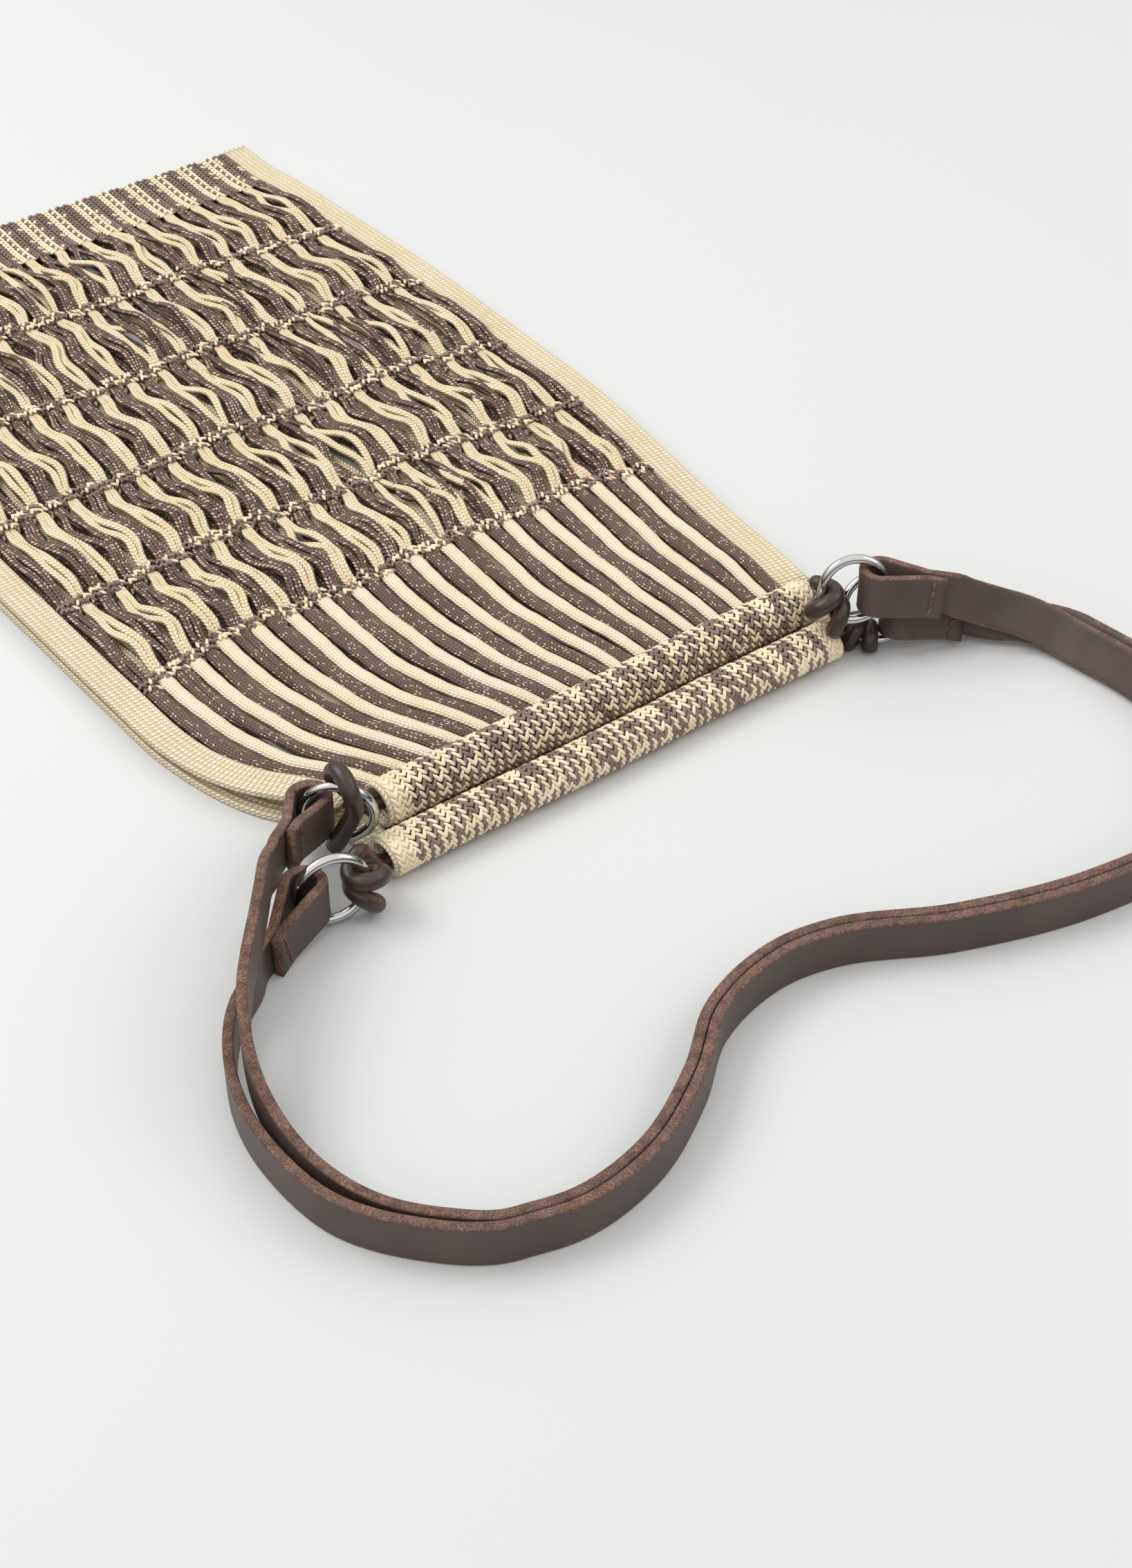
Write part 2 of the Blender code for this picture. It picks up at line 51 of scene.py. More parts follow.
# Net
STRIPS = 33
BAND_WIDTH = 15.0
BASE_BAND = 50.0
BAR_Y = (-117.0, -193.0, -270.0, -343.0, -411.0)
BAR_HALF = 3.0
BAR_DROOP = 9.0
BAR_ROWS_APART = 3.9
BASE_ROWS = 15
SIDE_RIBS = 5
OPEN_FROM = 0.93
OPEN_PART = 4.0
OPEN_RISE = 1.6
DOUBLED = (2, 6)
UV_SHIFT = 173.0
FRONT_END = -540.0
BACK_END = -562.0
OUTLINE = (
    (0.0, -158.0, 158.0), (-50.0, -161.0, 156.0), (-117.0, -166.0, 158.0), (-193.0, -170.0, 159.0),
    (-270.0, -173.0, 156.0), (-343.0, -173.0, 152.5), (-411.0, -172.5, 143.0), (-455.0, -171.0, 136.0),
    (-500.0, -160.0, 129.5), (-545.0, -136.0, 123.0),
)
CLOTH = 2.4
CLOTH_GAP = 0.4

# Tubes along the mouth
TUBES = dict(
    front=dict(x=-6.0, y=-553.0, z=14.0, wide=10.0, high=10.0, length=232.0),
    back=dict(x=-15.0, y=-574.5, z=7.6, wide=10.2, high=7.6, length=238.0),
)
CUFF = 10.0
TUBE_WALL = 2.3
TUBE_WALE = 4.3
TUBE_TURNS = 17

# Rings
RING_RADIUS = 14.4
RING_WIRE = 2.1
RINGS = dict(
    front_left=dict(x=-141.0, y=-553.0, z=20.5, turn=-40.0, lean=-4.0),
    back_left=dict(x=-166.0, y=-586.0, z=16.8, turn=-13.0, lean=5.0),
    front_right=dict(x=112.4, y=-579.5, z=34.0, turn=-30.0, lean=12.0),
    back_right=dict(x=129.3, y=-577.2, z=15.0, turn=-36.0, lean=30.0),
)

# Leather
STRAP_WIDTH = 19.0
STRAP_THICK = 4.2
CORD_RADIUS = 3.0
KNOT_RADIUS = 3.75
LOOP_RADIUS = 7.4
LOOP_OFF = 11.4
TAB_LENGTH = 28.0
TAB_SPACE = 4.6
TAB_STITCHES = 4
FOLD_STEPS = 18
STRAP_STEP = 4.0
REST_GAP = 0.05
RAW_BAND = 0.7

# Stations of the straps' middle lines: x, y, z and the lean of the top outward
FRONT_LEFT = (
    (-183.0, -571.0, 28.2, 0), (-191.5, -580.0, 33.2, 0), (-200.0, -590.5, 33.4, 0),
    (-209.0, -601.0, 32.0, 0), (-222.5, -616.5, 30.6, 0), (-232.0, -629.0, 29.4, 0),
    (-239.5, -642.0, 26.5, 0), (-246.5, -660.0, 19.8, 0), (-249.5, -680.0, 14.4, 0),
    (-248.5, -702.0, 11.3, 0), (-240.0, -727.5, 9.8, 0), (-225.5, -746.0, 9.6, 0),
)
BACK_LEFT = (
    (-212.0, -603.5, 9.5, 0), (-231.5, -618.5, 9.5, 0), (-241.5, -631.5, 9.5, 0),
    (-250.0, -648.5, 9.5, 0), (-254.5, -664.0, 9.5, 0), (-256.5, -688.0, 9.5, 0),
    (-252.0, -718.0, 9.5, 0), (-236.5, -742.4, 9.5, 0),
)
TOGETHER = (
    (-207.6, -759.6, 9.6, 0), (-185.0, -765.7, 9.6, 0), (-154.0, -762.6, 9.6, 0),
    (-117.6, -744.8, 9.6, 0), (-89.6, -724.2, 9.6, 0), (-64.0, -716.3, 9.6, 0),
    (-44.6, -715.3, 9.6, 0), (-28.0, -718.7, 9.6, 0), (18.5, -742.2, 9.6, 0),
    (76.5, -760.8, 9.6, 0), (120.0, -764.0, 9.6, 2), (160.0, -748.0, 9.6, 8),
    (184.0, -716.0, 9.6, 18), (190.0, -677.0, 9.6, 28), (187.0, -642.0, 9.6, 34),
)
FRONT_RIGHT = ((178.5, -622.0, 14.4, 33), (167.0, -613.2, 19.4, 28), (153.5, -607.5, 27.0, 20))
BACK_RIGHT = ((181.5, -619.0, 8.9, 35), (169.0, -606.5, 8.9, 36))
STRAPS = dict(
    front=dict(left=FRONT_LEFT, right=FRONT_RIGHT,
               start=dict(ring="front_left", way=(-0.79, -0.61), z=20.3, lean=0, drop=-4.0),
               end=dict(ring="front_right", way=(0.74, -0.67), z=34.2, lean=12, drop=3.0)),
    back=dict(left=BACK_LEFT, right=BACK_RIGHT,
              start=dict(ring="back_left", way=(-0.87, -0.49), z=16.2, lean=0, drop=7.5),
              end=dict(ring="back_right", way=(0.79, -0.61), z=15.0, lean=30, drop=5.0)),
)
# Each cord's windings on its rings: the first turn's angle above the level, the angle it moves by and the
# degrees round the wire. The knot of the first ring is a route instead: toward the tube, up and away.
CORDS = dict(
    front=dict(tube="front", lift=1.5, left="front_left", left_via=(), left_wind=None,
               right="front_right", right_via=((114.2, -555, 20), (110.5, -560, 26.5)),
               right_wind=(6.0, -70.0, 610.0)),
    back=dict(tube="back", lift=-0.9, left="back_left", left_via=(), left_wind=(32.0, -70.0, 640.0),
              right="back_right", right_via=(), right_wind=(-28.0, -50.0, 560.0)),
)
ARCHED_KNOT = (
    (7.0, 1.0, 8.0), (0.0, 8.0, 8.5), (-2.5, 14.0, 7.2), (-0.5, 19.2, 4.4), (3.4, 20.0, -0.6),
    (6.8, 15.2, -6.0), (7.6, 8.6, -6.6), (5.8, 2.5, -6.0), (3.0, -3.5, -5.6), (0.0, -10.0, -6.2),
    (-2.5, -13.6, -6.6),
)
WIND_STEP = 15.0
CORD_TAIL = 2.0
CORD_TOUCH = 0.3


# Camera, light and floor

def make_camera():
    data = bpy.data.cameras.new("camera")
    data.lens = 57.67
    data.sensor_width = 36.0
    data.clip_end = 20.0
    camera = bpy.data.objects.new("camera", data)
    camera.location = (-0.5315, -1.1865, 0.68)
    camera.rotation_euler = (radians(49.7), 0.0, radians(-37.5))
    bpy.context.scene.collection.objects.link(camera)
    bpy.context.scene.camera = camera


def soft_light(name, place, aim, size, power):
    data = bpy.data.lights.new(name, "AREA")
    data.shape = "RECTANGLE"
    data.size, data.size_y = size
    data.energy = power
    lamp = bpy.data.objects.new(name, data)
    lamp.location = place
    lamp.rotation_euler = (Vector(aim) - Vector(place)).to_track_quat("-Z", "Y").to_euler()
    bpy.context.scene.collection.objects.link(lamp)


# Node helpers

def shader_nodes(name):
    mat = bpy.data.materials.new(name)
    mat.use_nodes = True
    tree = mat.node_tree
    return mat, tree, tree.nodes["Principled BSDF"]


def node(tree, kind, settings=None, **inputs):
    made = tree.nodes.new(kind)
    for key, value in (settings or {}).items():
        setattr(made, key, value)
    for key, value in inputs.items():
        by_number = key[0] == "i" and key[1:].isdigit()
        plug = made.inputs[int(key[1:]) if by_number else key.replace("_", " ")]
        if isinstance(value, bpy.types.NodeSocket):
            tree.links.new(value, plug)
        else:
            plug.default_value = value
    return made


def maths(tree, operation, one, two=0.0, three=0.0):
    return node(tree, "ShaderNodeMath", dict(operation=operation), i0=one, i1=two, i2=three).outputs[0]


def mixed(tree, share, one, two):
    made = node(tree, "ShaderNodeMix", dict(data_type="RGBA"))
    for plug, value in ((made.inputs[0], share), (made.inputs[6], one), (made.inputs[7], two)):
        if isinstance(value, bpy.types.NodeSocket):
            tree.links.new(value, plug)
        elif plug == made.inputs[0]:
            plug.default_value = value
        else:
            plug.default_value = (*value, 1.0)
    return made.outputs[2]


def new_group(name, inputs, outputs):
    group = bpy.data.node_groups.new(name, "ShaderNodeTree")
    for label, kind, value in inputs:
        made = group.interface.new_socket(label, in_out="INPUT", socket_type=kind)
        if value is not None:
            made.default_value = value
    for label, kind in outputs:
        group.interface.new_socket(label, in_out="OUTPUT", socket_type=kind)
    return group, group.nodes.new("NodeGroupInput"), group.nodes.new("NodeGroupOutput")


def knit_group():
    """V stitches on coordinates that count wales across and stitches along."""
    group, taken, given = new_group(
        "knit_stitches",
        (("Wales and Rows", "NodeSocketVector", None), ("Slant", "NodeSocketFloat", 0.8)),
        (("Height", "NodeSocketFloat"), ("Stitch", "NodeSocketFloat"), ("Groove", "NodeSocketFloat")))
    split = node(group, "ShaderNodeSeparateXYZ", i0=taken.outputs["Wales and Rows"])
    wales, rows = split.outputs[0], split.outputs[1]
    off = maths(group, "ABSOLUTE", maths(group, "SUBTRACT", maths(group, "FRACT", wales), 0.5))
    slanted = maths(group, "MULTIPLY_ADD", off, taken.outputs["Slant"], rows)
    along = maths(group, "ABSOLUTE", maths(group, "SUBTRACT", maths(group, "FRACT", slanted), 0.5))
    leg = maths(group, "ABSOLUTE", maths(group, "SUBTRACT", off, 0.25))
    from_middle = maths(group, "MULTIPLY", along, 2.0)
    from_leg = maths(group, "MULTIPLY", leg, 4.0)
    round_along = maths(group, "SUBTRACT", 1.0, maths(group, "POWER", from_middle, 2.5))
    round_leg = maths(group, "SUBTRACT", 1.0, maths(group, "POWER", from_leg, 2.0))
    height = maths(group, "MULTIPLY", round_along, round_leg)
    leg_at = maths(group, "FLOOR", maths(group, "MULTIPLY", wales, 2.0))
    cell = node(group, "ShaderNodeCombineXYZ", i0=leg_at, i1=maths(group, "FLOOR", slanted)).outputs[0]
    random = node(group, "ShaderNodeTexWhiteNoise", dict(noise_dimensions="2D"), Vector=cell)
    group.links.new(height, given.inputs["Height"])
    group.links.new(random.outputs["Value"], given.inputs["Stitch"])
    # Groove masks the low places between stitch legs, where shade is painted in.
    groove_shade = node(group, "ShaderNodeMapRange", i0=height, i1=0.05, i2=0.45, i3=1.0, i4=0.0)
    group.links.new(groove_shade.outputs[0], given.inputs["Groove"])
    return group


def mottle_group():
    """Broad and fine unevenness on Object coordinates."""
    group, taken, given = new_group(
        "mottle",
        (("Broad Scale", "NodeSocketFloat", 30.0), ("Fine Scale", "NodeSocketFloat", 900.0)),
        (("Broad", "NodeSocketFloat"), ("Fine", "NodeSocketFloat")))
    place = node(group, "ShaderNodeTexCoord").outputs["Object"]
    for label in ("Broad", "Fine"):
        noise = node(group, "ShaderNodeTexNoise", Vector=place, Scale=taken.outputs[label + " Scale"],
                     Detail=3.0)
        group.links.new(noise.outputs[0], given.inputs[label])
    return group


def grain_group():
    """Leather: small pebbles, creases and rubbed patches."""
    group, taken, given = new_group(
        "leather_grain",
        (("Pebble Scale", "NodeSocketFloat", 1400.0), ("Rub Scale", "NodeSocketFloat", 35.0)),
        (("Height", "NodeSocketFloat"), ("Rub", "NodeSocketFloat"), ("Speckle", "NodeSocketFloat")))
    place = node(group, "ShaderNodeTexCoord").outputs["Object"]
    pebble = node(group, "ShaderNodeTexVoronoi", dict(feature="SMOOTH_F1"), Vector=place,
                  Scale=taken.outputs["Pebble Scale"], Smoothness=0.6)
    rub = node(group, "ShaderNodeTexNoise", Vector=place, Scale=taken.outputs["Rub Scale"],
               Detail=5.0, Roughness=0.6)
    speckle = node(group, "ShaderNodeTexNoise", Vector=place, Scale=taken.outputs["Pebble Scale"],
                   Detail=4.0, Roughness=0.75)
    group.links.new(pebble.outputs["Distance"], given.inputs["Height"])
    group.links.new(rub.outputs[0], given.inputs["Rub"])
    group.links.new(speckle.outputs[0], given.inputs["Speckle"])
    return group


KNIT = knit_group()
MOTTLE = mottle_group()
GRAIN = grain_group()


def placed_group(tree, group, **inputs):
    made = tree.nodes.new("ShaderNodeGroup")
    made.node_tree = group
    for key, value in inputs.items():
        plug = made.inputs[key.replace("_", " ")]
        if isinstance(value, bpy.types.NodeSocket):
            tree.links.new(value, plug)
        else:
            plug.default_value = value
    return made


def bump(tree, shader, height, distance, strength=1.0):
    made = node(tree, "ShaderNodeBump", Height=height, Distance=distance, Strength=strength)
    tree.links.new(made.outputs[0], shader.inputs["Normal"])


def ranged(tree, value, low, high, start=0.0, stop=1.0):
    return node(tree, "ShaderNodeMapRange", i0=value, i1=low, i2=high, i3=start, i4=stop).outputs[0]


def knit_material(name, wale, row, colours, fleck_share, relief, slant=0.8):
    """Braided or knitted yarn on a UV map in millimetres: colours are body, lit stitch, painted shade for
    the grooves between stitches, fleck.
    """
    mat, tree, shader = shader_nodes(name)
    body, lit, groove_shade, fleck = colours
    place = node(tree, "ShaderNodeUVMap", dict(uv_map="cloth")).outputs[0]
    counted = node(tree, "ShaderNodeVectorMath", dict(operation="MULTIPLY"), i0=place,
                   i1=(1 / wale, 1 / row, 1.0))
    knit = placed_group(tree, KNIT, Wales_and_Rows=counted.outputs[0], Slant=slant)
    mottle = placed_group(tree, MOTTLE)
    colour = mixed(tree, ranged(tree, mottle.outputs["Broad"], 0.3, 0.7), body, lit)
    flecked = maths(tree, "GREATER_THAN", knit.outputs["Stitch"], 1.0 - fleck_share)
    flecked = maths(tree, "MULTIPLY", flecked, ranged(tree, knit.outputs["Height"], 0.5, 0.8))
    colour = mixed(tree, flecked, colour, fleck)
    # The groove colour is painted shade, laid where the knit falls low between the stitch legs.
    dark = maths(tree, "MULTIPLY", knit.outputs["Groove"], 0.9)
    colour = mixed(tree, dark, colour, groove_shade)
    tree.links.new(colour, shader.inputs["Base Color"])
    tree.links.new(ranged(tree, mottle.outputs["Fine"], 0.3, 0.7, 0.55, 0.75), shader.inputs["Roughness"])
    shader.inputs["Specular IOR Level"].default_value = 0.3
    height = maths(tree, "MULTIPLY_ADD", mottle.outputs["Fine"], 0.15, knit.outputs["Height"])
    bump(tree, shader, height, relief * MM)
    return mat


def stitch_material(name, body, shade, light, gloss=0.5):
    """A single knitted leg of yarn: fine filaments along it."""
    mat, tree, shader = shader_nodes(name)
    place = node(tree, "ShaderNodeUVMap", dict(uv_map="cloth")).outputs[0]
    drawn = node(tree, "ShaderNodeVectorMath", dict(operation="MULTIPLY"), i0=place, i1=(4.0, 0.35, 1.0))
    strands = node(tree, "ShaderNodeTexNoise", Vector=drawn.outputs[0], Scale=1.0, Detail=2.0).outputs[0]
    mottle = placed_group(tree, MOTTLE, Broad_Scale=140.0)
    colour = mixed(tree, ranged(tree, mottle.outputs["Broad"], 0.35, 0.65), shade, body)
    colour = mixed(tree, ranged(tree, strands, 0.45, 0.75), colour, light)
    tree.links.new(colour, shader.inputs["Base Color"])
    tree.links.new(ranged(tree, strands, 0.3, 0.7, gloss, gloss + 0.2), shader.inputs["Roughness"])
    bump(tree, shader, strands, 0.15 * MM)
    return mat


def leather_material(name, body, rubbed, dark, roughness):
    mat, tree, shader = shader_nodes(name)
    grain = placed_group(tree, GRAIN)
    colour = mixed(tree, ranged(tree, grain.outputs["Rub"], 0.35, 0.7), body, rubbed)
    colour = mixed(tree, ranged(tree, grain.outputs["Speckle"], 0.62, 0.8, 0.0, 0.5), colour, dark)
    tree.links.new(colour, shader.inputs["Base Color"])
    tree.links.new(ranged(tree, grain.outputs["Rub"], 0.3, 0.7, roughness, roughness + 0.14),
                   shader.inputs["Roughness"])
    height = maths(tree, "MULTIPLY_ADD", grain.outputs["Rub"], 0.8, grain.outputs["Height"])
    bump(tree, shader, height, 0.06 * MM, 0.8)
    return mat


def raw_material(name, body, speck, dark):
    """A cut leather edge: fibres and specks."""
    mat, tree, shader = shader_nodes(name)
    grain = placed_group(tree, GRAIN, Pebble_Scale=1100.0, Rub_Scale=160.0)
    colour = mixed(tree, ranged(tree, grain.outputs["Speckle"], 0.44, 0.60), body, speck)
    colour = mixed(tree, ranged(tree, grain.outputs["Rub"], 0.4, 0.75, 0.0, 0.8), colour, dark)
    tree.links.new(colour, shader.inputs["Base Color"])
    shader.inputs["Roughness"].default_value = 0.9
    bump(tree, shader, grain.outputs["Speckle"], 0.35 * MM)
    return mat


def cord_material(name, body, rubbed, raw, raw_speck, girth):
    """Round leather cord with its raw seam along one side: the UV map counts millimetres round it."""
    mat, tree, shader = shader_nodes(name)
    grain = placed_group(tree, GRAIN)
    place = node(tree, "ShaderNodeUVMap", dict(uv_map="cloth")).outputs[0]
    across = node(tree, "ShaderNodeSeparateXYZ", i0=place).outputs[0]
    off = maths(tree, "ABSOLUTE", maths(tree, "SUBTRACT", across, girth / 2))
    off = maths(tree, "MULTIPLY_ADD", grain.outputs["Speckle"], 2.4, off)
    seam = ranged(tree, off, 2.1, 2.6, 1.0, 0.0)
    smooth = mixed(tree, ranged(tree, grain.outputs["Rub"], 0.35, 0.7), body, rubbed)
    rough = mixed(tree, ranged(tree, grain.outputs["Speckle"], 0.42, 0.66), raw, raw_speck)
    colour = mixed(tree, seam, smooth, rough)
    tree.links.new(colour, shader.inputs["Base Color"])
    tree.links.new(ranged(tree, seam, 0.0, 1.0, 0.36, 0.85), shader.inputs["Roughness"])
    height = maths(tree, "MULTIPLY_ADD", maths(tree, "MULTIPLY", seam, grain.outputs["Speckle"]), 4.0,
                   grain.outputs["Height"])
    bump(tree, shader, height, 0.08 * MM)
    return mat


def steel_material():
    mat, tree, shader = shader_nodes("polished_steel")
    mottle = placed_group(tree, MOTTLE, Broad_Scale=60.0, Fine_Scale=1500.0)
    shader.inputs["Metallic"].default_value = 1.0
    tone = ranged(tree, mottle.outputs["Broad"], 0.3, 0.7)
    colour = mixed(tree, tone, (0.50, 0.50, 0.505), (0.60, 0.60, 0.59))
    tree.links.new(colour, shader.inputs["Base Color"])
    tree.links.new(ranged(tree, mottle.outputs["Fine"], 0.4, 0.8, 0.05, 0.12), shader.inputs["Roughness"])
    return mat


def floor_material():
    mat, tree, shader = shader_nodes("pale_floor")
    mottle = placed_group(tree, MOTTLE, Broad_Scale=2.0, Fine_Scale=400.0)
    colour = mixed(tree, mottle.outputs["Broad"], (0.607, 0.612, 0.61), (0.622, 0.627, 0.625))
    tree.links.new(colour, shader.inputs["Base Color"])
    shader.inputs["Roughness"].default_value = 0.6
    shader.inputs["Specular IOR Level"].default_value = 0.15
    return mat


CREAM = (0.87, 0.72, 0.46)
CREAM_LIT = (0.93, 0.81, 0.57)
# Painted shade for the grooves between cream stitches.
CREAM_SHADE = (0.62, 0.45, 0.24)
CREAM_TIP = (0.98, 0.91, 0.73)
BROWN = (0.175, 0.112, 0.086)
BROWN_LIT = (0.225, 0.150, 0.118)
BROWN_TIP = (0.62, 0.48, 0.37)
# Painted shade: the grooves between brown stitches and the near-black knit ground.
DEEP_SHADE = (0.026, 0.015, 0.012)
# Widths of one knitted V: half a cord's girth, a third of a broad strip's top, and one rib of a side band
CORD_WALE = 5.15
STRIP_WALE = 2.8
RIB_WALE = 4.1

# The third colour of each set is painted shade for the grooves between stitches.
CREAMS = (CREAM, CREAM_LIT, CREAM_SHADE, CREAM_TIP)
STRIP_CREAMS = (CREAM_LIT, CREAM_TIP, CREAM_SHADE, CREAM_TIP)
BAND_CREAMS = ((0.79, 0.68, 0.47), (0.84, 0.75, 0.56), (0.56, 0.43, 0.25), (0.90, 0.83, 0.66))
BROWNS = (BROWN, BROWN_LIT, DEEP_SHADE, BROWN_TIP)
CREAM_CORD = knit_material("cream_cord", CORD_WALE, 2.3, CREAMS, 0.4, 0.8, 1.6)
BROWN_CORD = knit_material("brown_cord", CORD_WALE, 2.3, BROWNS, 0.42, 0.8, 1.6)
CREAM_STRIP = knit_material("cream_strip", STRIP_WALE, 2.1, STRIP_CREAMS, 0.4, 0.5, 1.2)
BROWN_STRIP = knit_material("brown_strip", STRIP_WALE, 2.1, BROWNS, 0.22, 0.6, 1.2)
CREAM_RIB = knit_material("cream_rib", RIB_WALE, 2.4, BAND_CREAMS, 0.3, 0.7, 1.2)
# The near-black knit ground is painted shade between stitches, with a few yarn-coloured flecks.
KNIT_GROUND_SHADES = (DEEP_SHADE, (0.06, 0.038, 0.03), DEEP_SHADE, (0.20, 0.14, 0.10))
KNIT_GROUND_SHADE = knit_material("knit_ground_shade", 2.0, 2.0, KNIT_GROUND_SHADES, 0.2, 0.4)
CREAM_STITCH = stitch_material("cream_stitch", (0.90, 0.78, 0.54), (0.74, 0.59, 0.36), (0.97, 0.91, 0.74))
BROWN_STITCH = stitch_material("brown_stitch", (0.235, 0.158, 0.128), (0.14, 0.088, 0.068),
                               (0.40, 0.30, 0.24))
NET_SLOTS = (CREAM_CORD, BROWN_CORD, CREAM_STRIP, BROWN_STRIP, CREAM_RIB, KNIT_GROUND_SHADE, CREAM_STITCH,
             BROWN_STITCH)
SLOT = {mat.name: at for at, mat in enumerate(NET_SLOTS)}

LEATHER = leather_material("dark_leather", (0.062, 0.042, 0.036), (0.092, 0.064, 0.054),
                           (0.034, 0.022, 0.018), 0.42)
RAW_EDGE = raw_material("raw_leather_edge", (0.120, 0.064, 0.048), (0.285, 0.165, 0.122),
                        (0.036, 0.021, 0.016))
# The thread's third colour is a painted reddish highlight along its strands.
THREAD = stitch_material("dark_thread", (0.120, 0.062, 0.050), (0.040, 0.020, 0.016),
                         (0.34, 0.19, 0.145))
LEATHER_SLOTS = (LEATHER, RAW_EDGE, THREAD)
CORD_GIRTH = 2 * pi * CORD_RADIUS
CORD_LEATHER = cord_material("cord_leather", (0.027, 0.016, 0.013), (0.050, 0.030, 0.024),
                             (0.09, 0.040, 0.026), (0.22, 0.11, 0.07), CORD_GIRTH)


# Lines

def smooth_step(t):
    t = min(max(t, 0.0), 1.0)
    return t * t * (3.0 - 2.0 * t)


def smooth_line(points, step):
    """Rows on a smooth curve through the given rows, whose first three numbers are a place."""
    rows = np.array(points, float)
    spans = np.linalg.norm(np.diff(rows[:, :3], axis=0), axis=1)
    slopes = np.diff(rows, axis=0) / spans[:, None]
    ways = [slopes[0]]
    for i in range(1, len(rows) - 1):
        ways.append((slopes[i - 1] * spans[i] + slopes[i] * spans[i - 1]) / (spans[i - 1] + spans[i]))
    ways.append(slopes[-1])
    out = []
    for i, span in enumerate(spans):
        count = max(1, round(span / step))
        for k in range(count):
            t = k / count
            swell = t * t * (3.0 - 2.0 * t)
            out.append(rows[i] * (1.0 - swell) + rows[i + 1] * swell
                       + ways[i] * span * (t ** 3 - 2 * t * t + t) + ways[i + 1] * span * (t ** 3 - t * t))
    out.append(rows[-1])
    return np.array(out)


def evenly(rows, step):
    """The same line as rows about one step apart."""
    lengths = np.r_[0.0, np.cumsum(np.linalg.norm(np.diff(rows[:, :3], axis=0), axis=1))]
    count = max(2, round(lengths[-1] / step))
    at = np.linspace(0.0, lengths[-1], count + 1)
    return np.array([[np.interp(s, lengths, rows[:, c]) for c in range(rows.shape[1])] for s in at])


def outline_at(y):
    """Left and right edge of the bag at a distance y from the base hem."""
    dense = OUTLINE_FINE
    return np.interp(y, dense[:, 0], dense[:, 1]), np.interp(y, dense[:, 0], dense[:, 2])


def fine_outline():
    """The outline's table on a smooth curve, from the mouth to the hem."""
    rows = OUTLINE
    out = []
    for i in range(len(rows) - 1):
        a, b = np.array(rows[max(i - 1, 0)]), np.array(rows[i])
        c, d = np.array(rows[i + 1]), np.array(rows[min(i + 2, len(rows) - 1)])
        for k in range(8):
            t = k / 8
            curve = 0.5 * (2 * b + (c - a) * t + (2 * a - 5 * b + 4 * c - d) * t * t
                           + (3 * b - a - 3 * c + d) * t ** 3)
            out.append((b[0] + (c[0] - b[0]) * t, curve[1], curve[2]))
    out.append(rows[-1])
    return np.array(out)[::-1]


OUTLINE_FINE = fine_outline()


def ripple(strip, row):
    """Uneven numbers of a strip in a row, from 0 to 1, the same each time."""
    a = sin(12.9898 * (strip + 1) + 78.233 * (row + 1)) * 43758.5453
    b = sin(39.3461 * (strip + 1) + 11.135 * (row + 1)) * 24634.6345
    return a - a // 1.0, b - b // 1.0


def back_floor(y):
    return CLOTH / 2


def front_floor(y):
    low = 1.5 * CLOTH + CLOTH_GAP
    over_rows = 3.2 * smooth_step((-y - 0.6 * BASE_BAND) / 35.0)
    to_tube = 4.5 * smooth_step((-y - 455.0) / 75.0)
    return low + over_rows + to_tube


def drooped(y, across, end):
    """A bar's ends run toward the mouth."""
    droop = max(0.0, abs(2 * across - 1) - 0.62) / 0.38
    if y >= -BASE_BAND:
        return y
    reach = smooth_step((-y - BASE_BAND) / 60.0)
    back = smooth_step((y - end) / 80.0)
    return y - BAR_DROOP * droop ** 1.5 * reach * back


def strip_place(strip, y):
    """Middle of a strip and the pitch at a distance y from the hem."""
    left, right = outline_at(y)
    pitch = (right - left - 2 * BAND_WIDTH) / STRIPS
    return left + BAND_WIDTH + pitch * (strip + 0.5), pitch


def wander(strip, row):
    """How far a bar strays along Y at a strip; the closed band's edge, row 0, stays straight."""
    if row == 0:
        return 0.0
    broad = 2.0 * sin(0.55 * strip + 2.1 * row) + 1.3 * sin(2.0 * strip + row)
    return broad + 2.4 * (ripple(strip, row + 20)[0] - 0.5)


# Mesh helpers

def new_bmesh():
    bm = bmesh.new()
    bm.loops.layers.uv.new("cloth")
    return bm


def sweep(bm, line, section, tops=UP, slot=0, start=0.0):
    """A closed solid along a line: section(row) lists the sides' offsets across and up, in millimetres.

    The UV map counts millimetres round the section and along the line, from start.
    """
    line = np.array(line, float)
    rows = len(line)
    ways = np.gradient(line, axis=0)
    ways /= np.linalg.norm(ways, axis=1)[:, None]
    tops = np.broadcast_to(np.array(tops, float), line.shape)
    across = np.cross(ways, tops)
    across /= np.linalg.norm(across, axis=1)[:, None]
    upright = np.cross(across, ways)
    lengths = np.r_[0.0, np.cumsum(np.linalg.norm(np.diff(line, axis=0), axis=1))]
    sections = [np.array(section(j), float) for j in range(rows)]
    sides = len(sections[0])
    first = sections[rows // 2]
    girth = np.r_[0.0, np.cumsum(np.linalg.norm(np.roll(first, -1, axis=0) - first, axis=1))]
    verts = bmesh.ops.create_grid(bm, x_segments=sides, y_segments=rows - 1, size=1.0)["verts"]
    uv = bm.loops.layers.uv["cloth"]
    spot = {}
    seam = []
    for v in verts:
        i = round((v.co.x + 1) / 2 * sides)
        j = round((v.co.y + 1) / 2 * (rows - 1))
        side, high = sections[j][i % sides]
        v.co = (line[j] + across[j] * side + upright[j] * high) * MM
        spot[v] = (girth[i], start + lengths[j])
        if i in (0, sides):
            seam.append(v)
    for face in {face for v in verts for face in v.link_faces}:
        face.material_index = slot
        face.smooth = True
        for loop in face.loops:
            loop[uv].uv = spot[loop.vert]
    bmesh.ops.remove_doubles(bm, verts=seam, dist=1e-7)


def oval(wide, high, sides):
    return [(wide * cos(2 * pi * k / sides), high * sin(2 * pi * k / sides)) for k in range(sides)]


